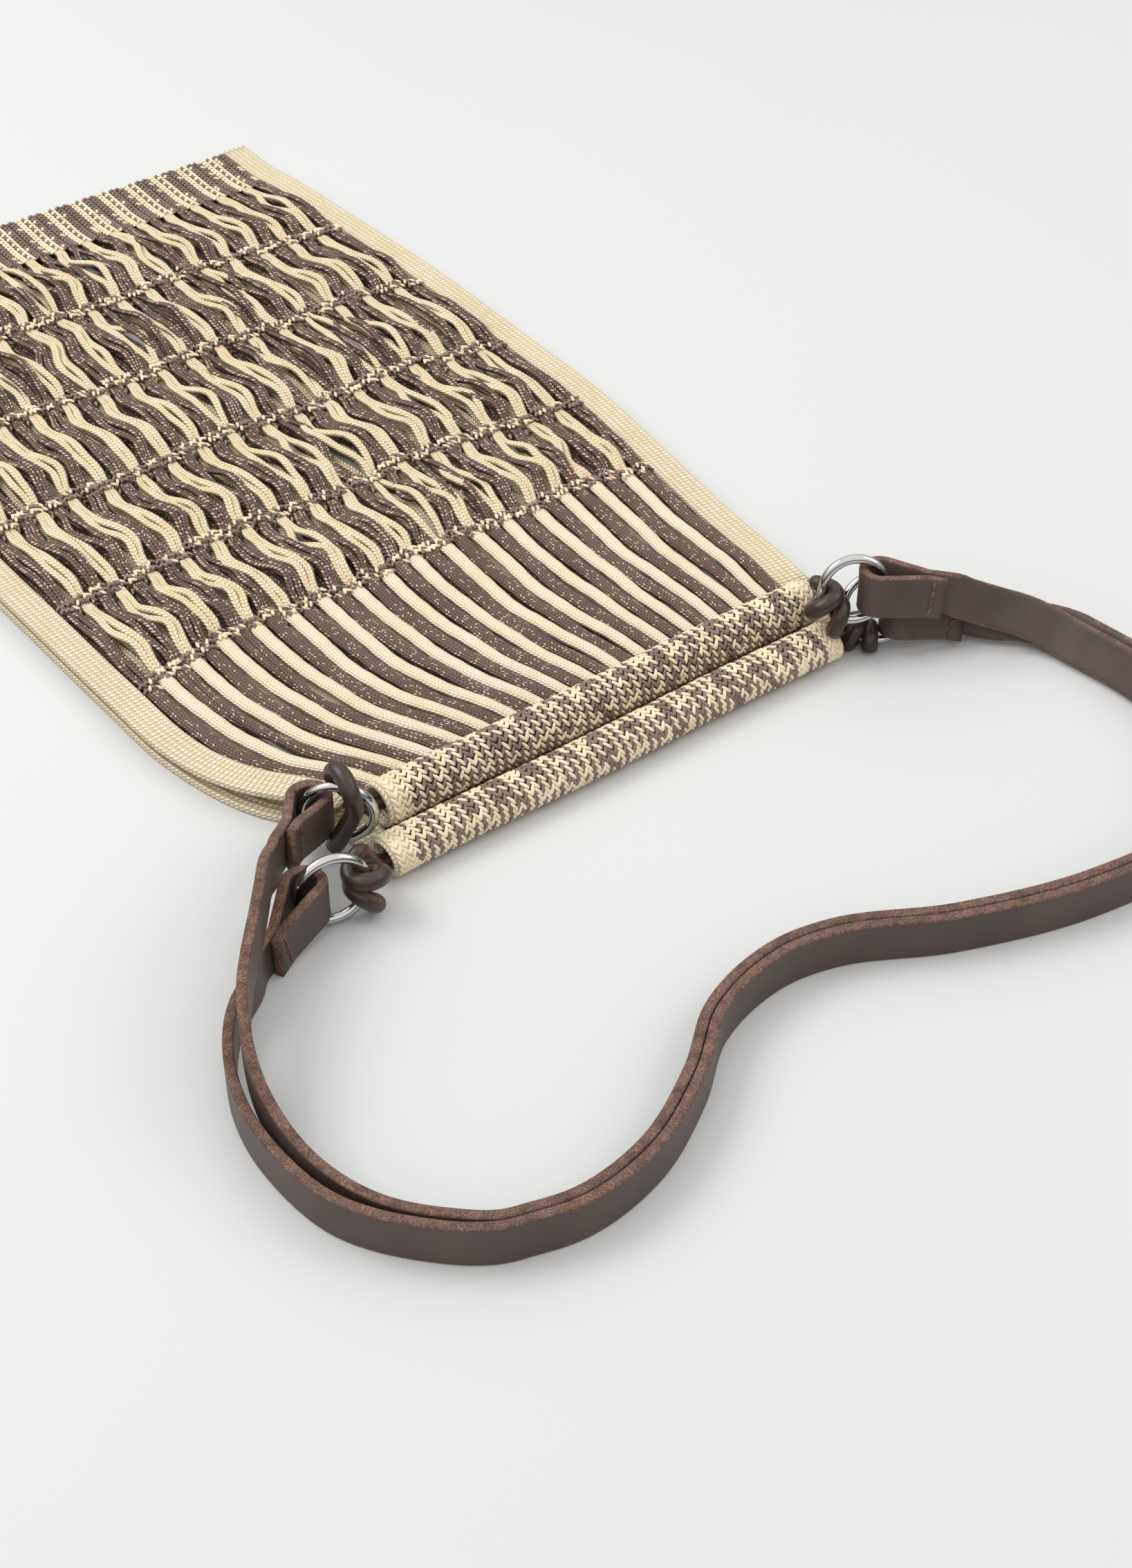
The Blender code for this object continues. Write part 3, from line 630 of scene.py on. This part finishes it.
def stitch_leg(slot, length=4.6, width=1.6, high=1.4, rounds=1):
    """One leg of a knitted V, with its long side along Y."""
    bm = new_bmesh()
    bmesh.ops.create_icosphere(bm, subdivisions=rounds, radius=1.0)
    uv = bm.loops.layers.uv["cloth"]
    for face in bm.faces:
        face.smooth = True
        face.material_index = slot
        for loop in face.loops:
            loop[uv].uv = (loop.vert.co.x * width, loop.vert.co.y * length)
    bmesh.ops.scale(bm, vec=Vector((width, length, high)) * MM / 2, verts=bm.verts)
    data = bpy.data.meshes.new("stitch_leg")
    bm.to_mesh(data)
    bm.free()
    return data


def stamp(bm, leg, place):
    one = leg.copy()
    one.transform(place)
    bm.from_mesh(one)
    bpy.data.meshes.remove(one)


def stitch(bm, legs, centre, axes, spread, slant, tones):
    """A V of two legs: axes are the directions across, along and out."""
    basis = Matrix(axes).transposed().to_4x4()
    for sign, tone in ((-1, tones[0]), (1, tones[1])):
        turn = Matrix.Rotation(radians(sign * slant), 4, "Z")
        shift = Matrix.Translation(Vector((sign * spread, 0.0, 0.0)) * MM)
        stamp(bm, legs[tone], Matrix.Translation(Vector(centre) * MM) @ basis @ shift @ turn)


def finish_piece(name, bm, mats, replaced, recalculate=True):
    """Closes and turns the mesh, puts it in the world frame and hangs it on the bag's body."""
    open_edges = [edge for edge in bm.edges if edge.is_boundary]
    if open_edges:
        bmesh.ops.holes_fill(bm, edges=open_edges, sides=0)
    if recalculate:
        bmesh.ops.recalc_face_normals(bm, faces=bm.faces)
    bmesh.ops.translate(bm, vec=(0.0, HEM_Y, 0.0), verts=bm.verts)
    for v in bm.verts:
        v.co.z = max(v.co.z, LOWEST)
    data = bpy.data.meshes.new(name)
    bm.to_mesh(data)
    bm.free()
    for mat in mats:
        data.materials.append(mat)
    piece = bpy.data.objects.new(name, data)
    bpy.context.scene.collection.objects.link(piece)
    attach(piece, "root")
    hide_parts(*replaced)
    return piece


# The two net panels

def wavy_cords(bm, strip, row, top, bottom, floor, lift, sway, end, sides, steps):
    """The two cords of a loose strip between two bars: they part and meet again and lie in a wave."""
    u, w = ripple(strip, row)
    a, b = ripple(strip + 40, row)
    slot = SLOT["brown_cord"] if strip % 2 == 0 else SLOT["cream_cord"]
    opened = 2 <= strip <= STRIPS - 3 and ripple(strip + 90, row)[1] > OPEN_FROM
    turned = 1.0 if w < 0.12 else -1.0
    fill = 1.0 if strip % 2 == 0 else 1.13
    for cord in (-1, 1):
        line, widths = [], []
        for k in range(steps + 1):
            t = k / steps
            y = top + (bottom - top) * t + wander(strip, row - 1) * (1 - t) + wander(strip, row) * t
            x, pitch = strip_place(strip, y)
            loose = max(0.0, sin(pi * t))
            bend = turned * sin(2 * pi * (t + 0.09 * (a - 0.5))) * (0.6 + 0.8 * u)
            bend += 0.36 * sin(4.3 * pi * t + 6.0 * a)
            swing = 0.0 if opened else sway * bend * loose ** 0.6
            swing *= min(1.0, (strip + 0.4) / 2.0, (STRIPS - 0.6 - strip) / 2.0)
            parted = max(0.0, sin((1.6 + 1.4 * a) * pi * t + 5.0 * b))
            apart = 1.1 + 0.6 * loose ** 0.5 + (0.8 + 2.2 * (b > 0.78)) * parted * loose
            if opened:
                apart = 1.4 + OPEN_PART * loose
            over = 1.2 * sin(2 * pi * t * (1.0 + a) + 4.0 * w) * loose
            hump = lift * sin(pi * t ** (1.0 + 0.5 * w)) * (0.55 + 0.75 * w)
            z = floor(y) + hump + cord * over * 0.8
            if opened:
                z += OPEN_RISE * loose
            y = drooped(y, (strip + 0.5) / STRIPS, end)
            line.append((x + swing + cord * apart, y, z))
            widths.append(fill * (0.80 + 0.32 * loose + 0.06 * sin(9.0 * pi * t + 7.0 * a + cord)))
        sweep(bm, line, lambda j: [(p * widths[j], q) for p, q in oval(1.85, 1.4, sides)], slot=slot,
              start=UV_SHIFT * (strip * len(BAR_Y) + row + 0.3 * cord))


def long_strip(bm, strip, top, end, floor, lift, wide, sides, steps):
    """A broad knitted strip between the last bar and the tube, or two narrow ones that cross."""
    u, w = ripple(strip, 6)
    slot = SLOT["brown_strip"] if strip % 2 == 0 else SLOT["cream_strip"]
    parts = ((-1, 0.62), (1, 0.62)) if strip in DOUBLED else ((0, 1.0),)
    for side, share in parts:
        line = []
        for k in range(steps + 1):
            t = k / steps
            y = top + (end - top) * t + wander(strip, len(BAR_Y)) * (1 - t)
            x, pitch = strip_place(strip, y)
            loose = max(0.0, sin(pi * t))
            sway = 0.9 * sin(2.4 * pi * t + 6.0 * u) * loose + 1.8 * side * cos(1.25 * pi * t)
            z = floor(y) + 0.35 * lift * loose * (0.3 + 0.7 * w) + 0.35 * sin(7.0 * pi * t + 9.0 * w) * loose
            z += 0.8 * side * loose
            line.append((x + sway, drooped(y, (strip + 0.5) / STRIPS, end), z))
        widths = [strip_place(strip, y)[1] * wide * share for _, y, _ in line]
        sweep(bm, line, lambda j: [(p * widths[j] * (1 + 0.04 * sin(1.7 * j + 5 * u)), q)
                                   for p, q in oval(1.0, 1.9, sides)], slot=slot, start=UV_SHIFT * strip)


def bar_stitches(bm, legs, row, bar, floor, end, per_strip):
    """A knitted bar: uneven V stitches that hold the strips, in two rows."""
    for strip in range(STRIPS):
        x, pitch = strip_place(strip, bar)
        y = drooped(bar, (strip + 0.5) / STRIPS, end) + wander(strip, row)
        for k in range(per_strip):
            for line in (0, 1):
                u, w = ripple(strip * 3 + k, bar * 0.37 + line * 5.3)
                tones = ("cream" if u > 0.62 else "brown", "brown" if w > 0.36 else "cream")
                turn = radians(40.0 * (u - 0.5))
                axes = (Vector((cos(turn), sin(turn), 0)), Vector((-sin(turn), cos(turn), 0)), UP)
                along_bar = 0.84 * pitch * ((k + 0.5) / per_strip - 0.5)
                off_bar = (line - 0.5) * BAR_ROWS_APART + 1.4 * (w - 0.5)
                place = (x + along_bar, y + off_bar, floor(bar) + 1.4 + 1.3 * u)
                stitch(bm, legs, place, axes, 0.8, 36.0, tones)


def base_stitches(bm, legs, floor, end):
    """The closed band at the base: two wales of Vs on each strip's width."""
    for strip in range(STRIPS):
        tone = "brown" if strip % 2 == 0 else "cream"
        for k in range(BASE_ROWS):
            y = -BASE_BAND * (k + 0.5) / BASE_ROWS
            x, pitch = strip_place(strip, y)
            for side in (-1, 1):
                u, w = ripple(strip * 2 + side, k)
                tones = [tone, tone]
                if tone == "cream" and side == 1 and k % 2 == 0:
                    tones[0] = "brown"
                elif tone == "brown" and u > 0.80:
                    tones[side == 1] = "cream"
                place = (x + side * pitch / 4, y + 0.3 * (u - 0.5), floor(y) + 0.75)
                stitch(bm, legs, place, (Vector((1, 0, 0)), Vector((0, 1, 0)), UP), 0.95, 24.0, tones)


def hem_stitches(bm, legs, high):
    """Stitches over the fold at the base, where the two panels join."""
    axes = (Vector((1, 0, 0)), UP, Vector((0, -1, 0)))
    for strip in range(STRIPS):
        tone = "brown" if strip % 2 == 0 else "cream"
        x, pitch = strip_place(strip, 0.0)
        for side in (-1, 1):
            stitch(bm, legs, (x + side * pitch / 4, 0.1, high / 2), axes, 0.95, 24.0, (tone, tone))


def side_band(bm, left_side, floor, end, sides_per_rib, ribs):
    """The ribbed cream band down one side, from the hem to the tube."""
    steps = 60
    line, tops = [], []
    for k in range(steps + 1):
        y = end * k / steps
        left, right = outline_at(y)
        x = left + BAND_WIDTH / 2 if left_side else right - BAND_WIDTH / 2
        line.append((x, drooped(y, 0.0, end), floor(y) + 0.3))
    count = ribs * sides_per_rib
    upper = [(-BAND_WIDTH / 2 + BAND_WIDTH * k / count,
              0.35 + 1.35 * abs(sin(pi * k / sides_per_rib))) for k in range(count + 1)]
    lower = [(x, -1.2) for x, _ in upper[::-4]]
    section = [(-x, z) for x, z in upper + lower]
    sweep(bm, line, lambda j: section, slot=SLOT["cream_rib"])


def ground_plate(bm, floor, deep):
    """Dark knit behind the stitches of the base band, square to the hem: painted shade between the stitches.
    """
    steps = 6
    inset = BAND_WIDTH - 0.5
    half = 0.75
    line = [(0.0, -0.4 - (deep - 0.8) * k / steps, floor(-deep * k / steps) - 0.3) for k in range(steps + 1)]
    sections = []
    for _, y, _ in line:
        left, right = outline_at(y)
        left, right = left + inset, right - inset
        around = [(right, 0.0), (right - 2.0, half), (left + 2.0, half), (left, 0.0), (left + 2.0, -half),
                  (right - 2.0, -half)]
        sections.append([(-x, z) for x, z in around])
    sweep(bm, line, lambda j: sections[j], slot=SLOT["knit_ground_shade"])


NETS = dict(
    net_front=dict(node_name="front_panel", floor=front_floor, lift=4.2, sway=2.9, end=FRONT_END,
                   cord_sides=7, cord_steps=15, strip_steps=40, fine=True),
    net_back=dict(node_name="back_panel", floor=back_floor, lift=2.6, sway=1.2, end=BACK_END,
                  cord_sides=6, cord_steps=8, strip_steps=16, fine=False),
)


def net_panel(name, node_name, floor, lift, sway, end, cord_sides, cord_steps, strip_steps, fine):
    legs = dict(cream=stitch_leg(SLOT["cream_stitch"], 4.6, 2.1),
                brown=stitch_leg(SLOT["brown_stitch"], 4.6, 1.8))
    bar_legs = dict(cream=stitch_leg(SLOT["cream_stitch"], 5.2, 1.8, 1.7),
                    brown=stitch_leg(SLOT["brown_stitch"], 5.2, 1.8, 1.6))
    bm = new_bmesh()
    top = -BASE_BAND
    for row, bar in enumerate(BAR_Y):
        for strip in range(STRIPS):
            wavy_cords(bm, strip, row + 1, top + 1.0, bar + BAR_HALF - 2.0, floor, lift, sway, end,
                       cord_sides, cord_steps)
        top = bar - BAR_HALF
    for strip in range(STRIPS):
        long_strip(bm, strip, top + 2.0, end - 3.0, floor, lift, 0.44, 10 if fine else 8, strip_steps)
    for row, bar in enumerate(BAR_Y):
        bar_stitches(bm, bar_legs, row + 1, bar, floor, end, 3 if fine else 2)
    base_stitches(bm, legs, floor, end)
    if fine:
        hem_stitches(bm, legs, floor(0.0) + 0.75)
    ground_plate(bm, floor, BASE_BAND)
    for left_side in (True, False):
        side_band(bm, left_side, floor, end, 4, SIDE_RIBS)
    piece = finish_piece(name, bm, NET_SLOTS, [node_name])
    return piece


# Tubes

def tube_piece(which):
    spec = TUBES[which]
    bm = new_bmesh()
    uv = bm.loops.layers.uv["cloth"]
    half = spec["length"] / 2
    steps = 48
    outside = [(-half + spec["length"] * k / steps, 1.0) for k in range(steps + 1)]
    inside = [(x, 1.0 - TUBE_WALL / spec["high"]) for x, _ in outside[::-1]]
    rim = 1.0 - TUBE_WALL / spec["high"] / 2
    profile = outside + [(half + 0.9, rim)] + inside + [(-half - 0.9, rim)]
    verts = []
    for x, radius in profile:
        near_end = smooth_step((abs(x) - half + CUFF) / 2.0)
        verts.append(bm.verts.new((x * MM, 0.0, (radius - 0.09 * (1 - near_end) * (radius > 0.99)) * MM)))
    edges = [bm.edges.new((one, two)) for one, two in zip(verts, verts[1:] + verts[:1])]
    around = 28
    bmesh.ops.spin(bm, geom=verts + edges, cent=(0, 0, 0), axis=(1, 0, 0), angle=2 * pi, steps=around,
                   use_merge=True)
    for face in bm.faces:
        middle = face.calc_center_median()
        cuff = abs(middle.x) > (half - CUFF) * MM
        # Away from the cuffs the tube's body takes the near-black ground: painted shade between its
        # stitches.
        face.material_index = SLOT["cream_rib"] if cuff else SLOT["knit_ground_shade"]
        face.smooth = True
        base = np.arctan2(middle.z, middle.y)
        for loop in face.loops:
            angle = np.arctan2(loop.vert.co.z, loop.vert.co.y)
            angle += 2 * pi * round((base - angle) / (2 * pi))
            loop[uv].uv = (loop.vert.co.x / MM, angle * 10.0)
    for v in bm.verts:
        sag = 0.5 * sin(3 * pi * (v.co.x / MM / spec["length"] + 0.5) + 0.6)
        rib = 1.0
        if abs(v.co.x) > (half - CUFF) * MM:
            rib = 0.985
        v.co = Vector((spec["x"] * MM + v.co.x, (spec["y"] + sag) * MM + v.co.y * spec["wide"] * rib,
                       spec["z"] * MM + v.co.z * spec["high"] * rib))
    bmesh.ops.recalc_face_normals(bm, faces=bm.faces)
    legs = dict(cream=stitch_leg(SLOT["cream_stitch"], 5.3, 1.75, 1.6, 2),
                brown=stitch_leg(SLOT["brown_stitch"], 5.3, 1.75, 1.5, 2))
    wales = int(spec["length"] / TUBE_WALE)
    for k in range(wales):
        x = (k + 0.5 - wales / 2) * TUBE_WALE
        sag = 0.5 * sin(3 * pi * (x / spec["length"] + 0.5) + 0.6)
        for j in range(TUBE_TURNS):
            angle = 2 * pi * (j + 0.5 * (k % 2)) / TUBE_TURNS
            u, w = ripple(k, j + 3)
            out = Vector((0.0, cos(angle) / spec["wide"], sin(angle) / spec["high"])).normalized()
            round_way = Vector((0.0, -out.z, out.y))
            place = (spec["x"] + x, spec["y"] + sag + cos(angle) * (spec["wide"] - 0.35),
                     spec["z"] + sin(angle) * (spec["high"] - 0.35))
            strip_tone = int((k + 0.5) / 2) % 2
            near_panel = 0.5 + 0.5 * cos(angle - 0.5)
            creamy = (0.5 if strip_tone else -0.5) * near_panel ** 2
            tones = ("cream" if u < 0.84 + creamy else "brown", "cream" if w < 0.2 + creamy else "brown")
            if abs(x) > half - CUFF:
                tones = ("cream", "cream")
            stitch(bm, legs, place, (Vector((1, 0, 0)), round_way, out), 1.05, 31.0, tones)
    return finish_piece("tube_" + which, bm, NET_SLOTS, [which + "_channel"],
                        recalculate=False)


# Rings, cords and straps

def ring_frame(spec):
    centre = Vector((spec["x"], spec["y"], spec["z"]))
    turn, lean = radians(spec["turn"]), radians(spec["lean"])
    level = Vector((cos(turn), sin(turn), 0.0))
    flat_normal = Vector((-sin(turn), cos(turn), 0.0))
    return centre, level, UP * cos(lean) + flat_normal * sin(lean)


def ring_piece(name, steel):
    centre, level, up = ring_frame(RINGS[name])
    bm = new_bmesh()
    wire = bmesh.ops.create_circle(bm, segments=16, radius=RING_WIRE * MM, cap_ends=False)["verts"]
    stand = Matrix.Translation((RING_RADIUS * MM, 0, 0)) @ Matrix.Rotation(radians(90), 4, "X")
    bmesh.ops.transform(bm, matrix=stand, verts=wire)
    bmesh.ops.spin(bm, geom=bm.verts[:] + bm.edges[:], cent=(0, 0, 0), axis=(0, 0, 1), angle=2 * pi,
                   steps=72, use_merge=True)
    basis = Matrix((level, up, level.cross(up))).transposed().to_4x4()
    bmesh.ops.transform(bm, matrix=Matrix.Translation(centre * MM) @ basis, verts=bm.verts)
    for face in bm.faces:
        face.smooth = True
    return finish_piece("polished_ring_" + name, bm, [steel], ["ring_" + name])


def cord_end(tube, spec, which):
    centre, level, up = ring_frame(RINGS[spec[which]])
    mouth = Vector((tube["x"], tube["y"], tube["z"] + spec["lift"]))
    out = 1.0 if centre.x > mouth.x else -1.0
    mouth.x += out * tube["length"] / 2
    side = level if level.x * out < 0 else -level
    normal = side.cross(up)
    if normal.y < 0:
        normal = -normal
    points = [mouth - Vector((out * 6, 0, 0)), mouth + Vector((out * 1, 0, 0))]
    points += [Vector(place) for place in spec[which + "_via"]]
    if spec[which + "_wind"] is None:
        return points + [centre + side * one + up * two + normal * three for one, two, three in ARCHED_KNOT]
    start, turn, wound = spec[which + "_wind"]
    reach = RING_WIRE + KNOT_RADIUS + CORD_TOUCH
    steps = round(wound / WIND_STEP)
    for k in range(steps + 1):
        a = radians(90 + wound * k / steps)
        at = radians(start + turn * k / steps)
        radial = side * cos(at) + up * sin(at)
        points.append(centre + radial * RING_RADIUS + (radial * cos(a) + normal * sin(a)) * reach)
    points.append(points[-1] + (points[-1] - points[-2]).normalized() * CORD_TAIL)
    return points


def carried_tops(line):
    """Upright directions along a line, each turned from the one before as little as the line allows."""
    ways = np.gradient(line, axis=0)
    ways /= np.linalg.norm(ways, axis=1)[:, None]
    top = np.array((0.0, 0.3, 1.0))
    out = []
    for way in ways:
        top = top - way * top.dot(way)
        top /= np.linalg.norm(top)
        out.append(top)
    return np.array(out)


def cord_piece(which):
    spec = CORDS[which]
    tube = TUBES[spec["tube"]]
    left, right = [evenly(smooth_line(cord_end(tube, spec, side), 1.0), 1.5) for side in ("left", "right")]
    middle = np.linspace(left[0], right[0], 24)[1:-1]
    line = np.vstack([left[::-1], middle, right])
    bm = new_bmesh()
    sides = 18
    from_end = np.minimum(np.arange(len(line)), np.arange(len(line))[::-1])
    knotted = [smooth_step((min(len(left), len(right)) - 8 - count) / 10.0) for count in from_end]
    radii = [CORD_RADIUS + (KNOT_RADIUS - CORD_RADIUS) * share * (0.75 + 0.25 * smooth_step(count / 2))
             * (1.0 + 0.05 * sin(0.9 * count)) for share, count in zip(knotted, from_end)]
    sweep(bm, line, lambda j: oval(radii[j], radii[j], sides), tops=carried_tops(line))
    return finish_piece("leather_cord_" + which, bm, [CORD_LEATHER], ["cord_" + which])


def strap_end(spec):
    centre, level, up = ring_frame(RINGS[spec["ring"]])
    way = Vector((*spec["way"], 0.0)).normalized()
    side = level if way.dot(level) > 0 else -level
    hub = Vector((centre.x, centre.y, spec["z"])) + side * LOOP_OFF
    across = Vector((-way.y, way.x, 0.0))
    if across.y < 0:
        across = -across
    across /= cos(radians(spec["lean"]))
    near, far = -across * TAB_SPACE / 2, across * TAB_SPACE / 2
    slope = way - Vector((0, 0, spec["drop"] / TAB_LENGTH))
    fold_end = TAB_LENGTH - 8
    line = [hub + slope * reach + near for reach in (TAB_LENGTH, TAB_LENGTH - 4, fold_end)]
    for k in range(FOLD_STEPS + 1):
        a = radians(78 + 204 * k / FOLD_STEPS)
        line.append(hub + way * cos(a) * LOOP_RADIUS - across * sin(a) * LOOP_RADIUS)
    line += [hub + slope * reach + far for reach in (fold_end, TAB_LENGTH - 4, TAB_LENGTH, TAB_LENGTH + 4)]
    top = across.normalized() * sin(radians(spec["lean"]))
    return np.array([[*p, top.x, top.y] for p in line])


def strap_rows(stations):
    rows = []
    for i, (x, y, z, lean) in enumerate(stations):
        one, two = stations[max(i - 1, 0)], stations[min(i + 1, len(stations) - 1)]
        along = Vector((two[0] - one[0], two[1] - one[1])).normalized()
        rows.append([x, y, z, along.y * sin(radians(lean)), -along.x * sin(radians(lean))])
    return rows


def beside(rows):
    """The line that lies against the outer side of the given one."""
    ways = np.diff(rows[:, :2], axis=0)
    ways /= np.linalg.norm(ways, axis=1)[:, None]
    out = np.column_stack([ways[:, 1], -ways[:, 0]])
    before, after = np.vstack([out[:1], out]), np.vstack([out, out[-1:]])
    mitre = (before + after) / (1.0 + (before * after).sum(axis=1))[:, None]
    upright = np.sqrt(1.0 - rows[:, 3] ** 2 - rows[:, 4] ** 2)
    moved = rows.copy()
    moved[:, :2] += mitre * (TAB_SPACE / upright)[:, None]
    return moved


def strap_line(spec, together):
    first = strap_end(spec["start"])
    last = strap_end(spec["end"])[::-1]
    lead_in = smooth_line(np.vstack([first[-2:], strap_rows(spec["left"]), together[:2]]), 1.0)
    lead_out = smooth_line(np.vstack([together[-2:], strap_rows(spec["right"]), last[:2]]), 1.0)
    starts = np.linalg.norm(lead_in[:, :3] - first[-1, :3], axis=1).argmin()
    joins = np.linalg.norm(lead_in[:, :3] - together[0, :3], axis=1).argmin()
    leaves = np.linalg.norm(lead_out[:, :3] - together[-1, :3], axis=1).argmin()
    stops = np.linalg.norm(lead_out[:, :3] - last[0, :3], axis=1).argmin()
    line = np.vstack([first[:-1], evenly(lead_in[starts:joins + 1], STRAP_STEP)[:-1], together[:-1],
                      evenly(lead_out[leaves:stops + 1], STRAP_STEP)[:-1], last])
    lean = np.hypot(line[:, 3], line[:, 4])
    lowest = STRAP_WIDTH / 2 * np.sqrt(1.0 - lean ** 2) + STRAP_THICK / 2 * lean
    line[:, 2] = np.maximum(line[:, 2], lowest + REST_GAP)
    return line


def strap_section():
    """Round-cornered section of a strap."""
    half, thick, corner = STRAP_WIDTH / 2, STRAP_THICK / 2, 0.75
    one = [(thick, 0.0), (thick, half - 2.2), (thick, half - corner), (thick - 0.25, half - 0.25),
           (thick - corner, half), (0.0, half)]
    other = [(-x, y) for x, y in one[::-1][1:]]
    upper = one + other
    return upper + [(x, -y) for x, y in upper[::-1][1:-1]]


def strap_piece(which, line):
    bm = new_bmesh()
    section = strap_section()
    lean = np.sqrt(np.maximum(0.0, 1.0 - line[:, 3] ** 2 - line[:, 4] ** 2))
    tops = np.column_stack([line[:, 3], line[:, 4], lean])
    sweep(bm, line[:, :3], lambda j: section, tops=tops)
    uv = bm.loops.layers.uv["cloth"]
    girth, raw = [0.0], []
    for one, two in zip(section, section[1:] + section[:1]):
        girth.append(girth[-1] + np.hypot(two[0] - one[0], two[1] - one[1]))
        raw.append(abs((one[1] + two[1]) / 2) > STRAP_WIDTH / 2 - RAW_BAND)
    for face in bm.faces:
        middle = sum(loop[uv].uv.x for loop in face.loops) / len(face.loops)
        part = int(np.searchsorted(girth, middle)) - 1
        if 0 <= part < len(raw) and raw[part]:
            face.material_index = 1
    before = set(bm.faces)
    bmesh.ops.holes_fill(bm, edges=[edge for edge in bm.edges if edge.is_boundary], sides=0)
    for face in set(bm.faces) - before:
        face.material_index = 1
    leg = stitch_leg(2, 4.4, 1.6, 1.5, 2)
    for end in ("start", "end"):
        tab_stitches(bm, STRAPS[which][end], leg)
    return finish_piece("leather_strap_" + which, bm, LEATHER_SLOTS, ["strap_" + which])


def tab_stitches(bm, spec, leg):
    """Stitches up the tab, near its end."""
    rows = strap_end(spec)
    place, further = Vector(rows[1][:3]), Vector(rows[0][:3])
    way = (further - place).normalized()
    lean_x, lean_y = rows[1][3], rows[1][4]
    up = Vector((lean_x, lean_y, (1 - lean_x ** 2 - lean_y ** 2) ** 0.5))
    out = way.cross(up).normalized()
    if out.y > 0:
        out = -out
    up = out.cross(way) if out.cross(way).z > 0 else way.cross(out)
    for k in range(TAB_STITCHES):
        middle = place - way * 1.5 + out * (STRAP_THICK / 2 + 0.1) + up * (k - (TAB_STITCHES - 1) / 2) * 4.1
        basis = Matrix((way, up, out)).transposed().to_4x4()
        tilt = Matrix.Rotation(radians(-14), 4, "Z")
        stamp(bm, leg, Matrix.Translation(middle * MM) @ basis @ tilt)


# Building

make_camera()
STEEL = steel_material()
for which in CORDS:
    cord_piece(which)
together = evenly(smooth_line(strap_rows(TOGETHER), 1.0), STRAP_STEP)
strap_piece("front", strap_line(STRAPS["front"], together))
strap_piece("back", strap_line(STRAPS["back"], beside(together)))
for name in RINGS:
    ring_piece(name, STEEL)

floor_bm = bmesh.new()
bmesh.ops.create_grid(floor_bm, x_segments=1, y_segments=1, size=30.0)
floor_data = bpy.data.meshes.new("floor")
floor_bm.to_mesh(floor_data)
floor_bm.free()
floor_data.materials.append(floor_material())
ground = bpy.data.objects.new("floor", floor_data)
bpy.context.scene.collection.objects.link(ground)

for name, spec in NETS.items():
    net_panel(name, **spec)
for which in TUBES:
    tube_piece(which)

world = bpy.data.worlds.new("studio")
bpy.context.scene.world = world
world.use_nodes = True
sky = world.node_tree
way_up = node(sky, "ShaderNodeTexCoord").outputs["Generated"]
height = node(sky, "ShaderNodeSeparateXYZ", i0=way_up).outputs[2]
seen = node(sky, "ShaderNodeLightPath").outputs["Is Camera Ray"]
glow = mixed(sky, ranged(sky, height, 0.1, 0.5), (0.05, 0.05, 0.05), (1.0, 0.99, 0.975))
sky.links.new(mixed(sky, seen, glow, (0.75, 0.75, 0.745)), sky.nodes["Background"].inputs["Color"])
sky.nodes["Background"].inputs["Strength"].default_value = 1.15
soft_light("key", (-0.9, 0.5, 1.6), (0.0, -0.4, 0.0), (1.2, 1.0), 18.0)
soft_light("fill", (1.2, -1.2, 1.3), (0.0, -0.4, 0.0), (1.0, 1.0), 5.0)
bpy.context.scene.view_settings.view_transform = "Standard"
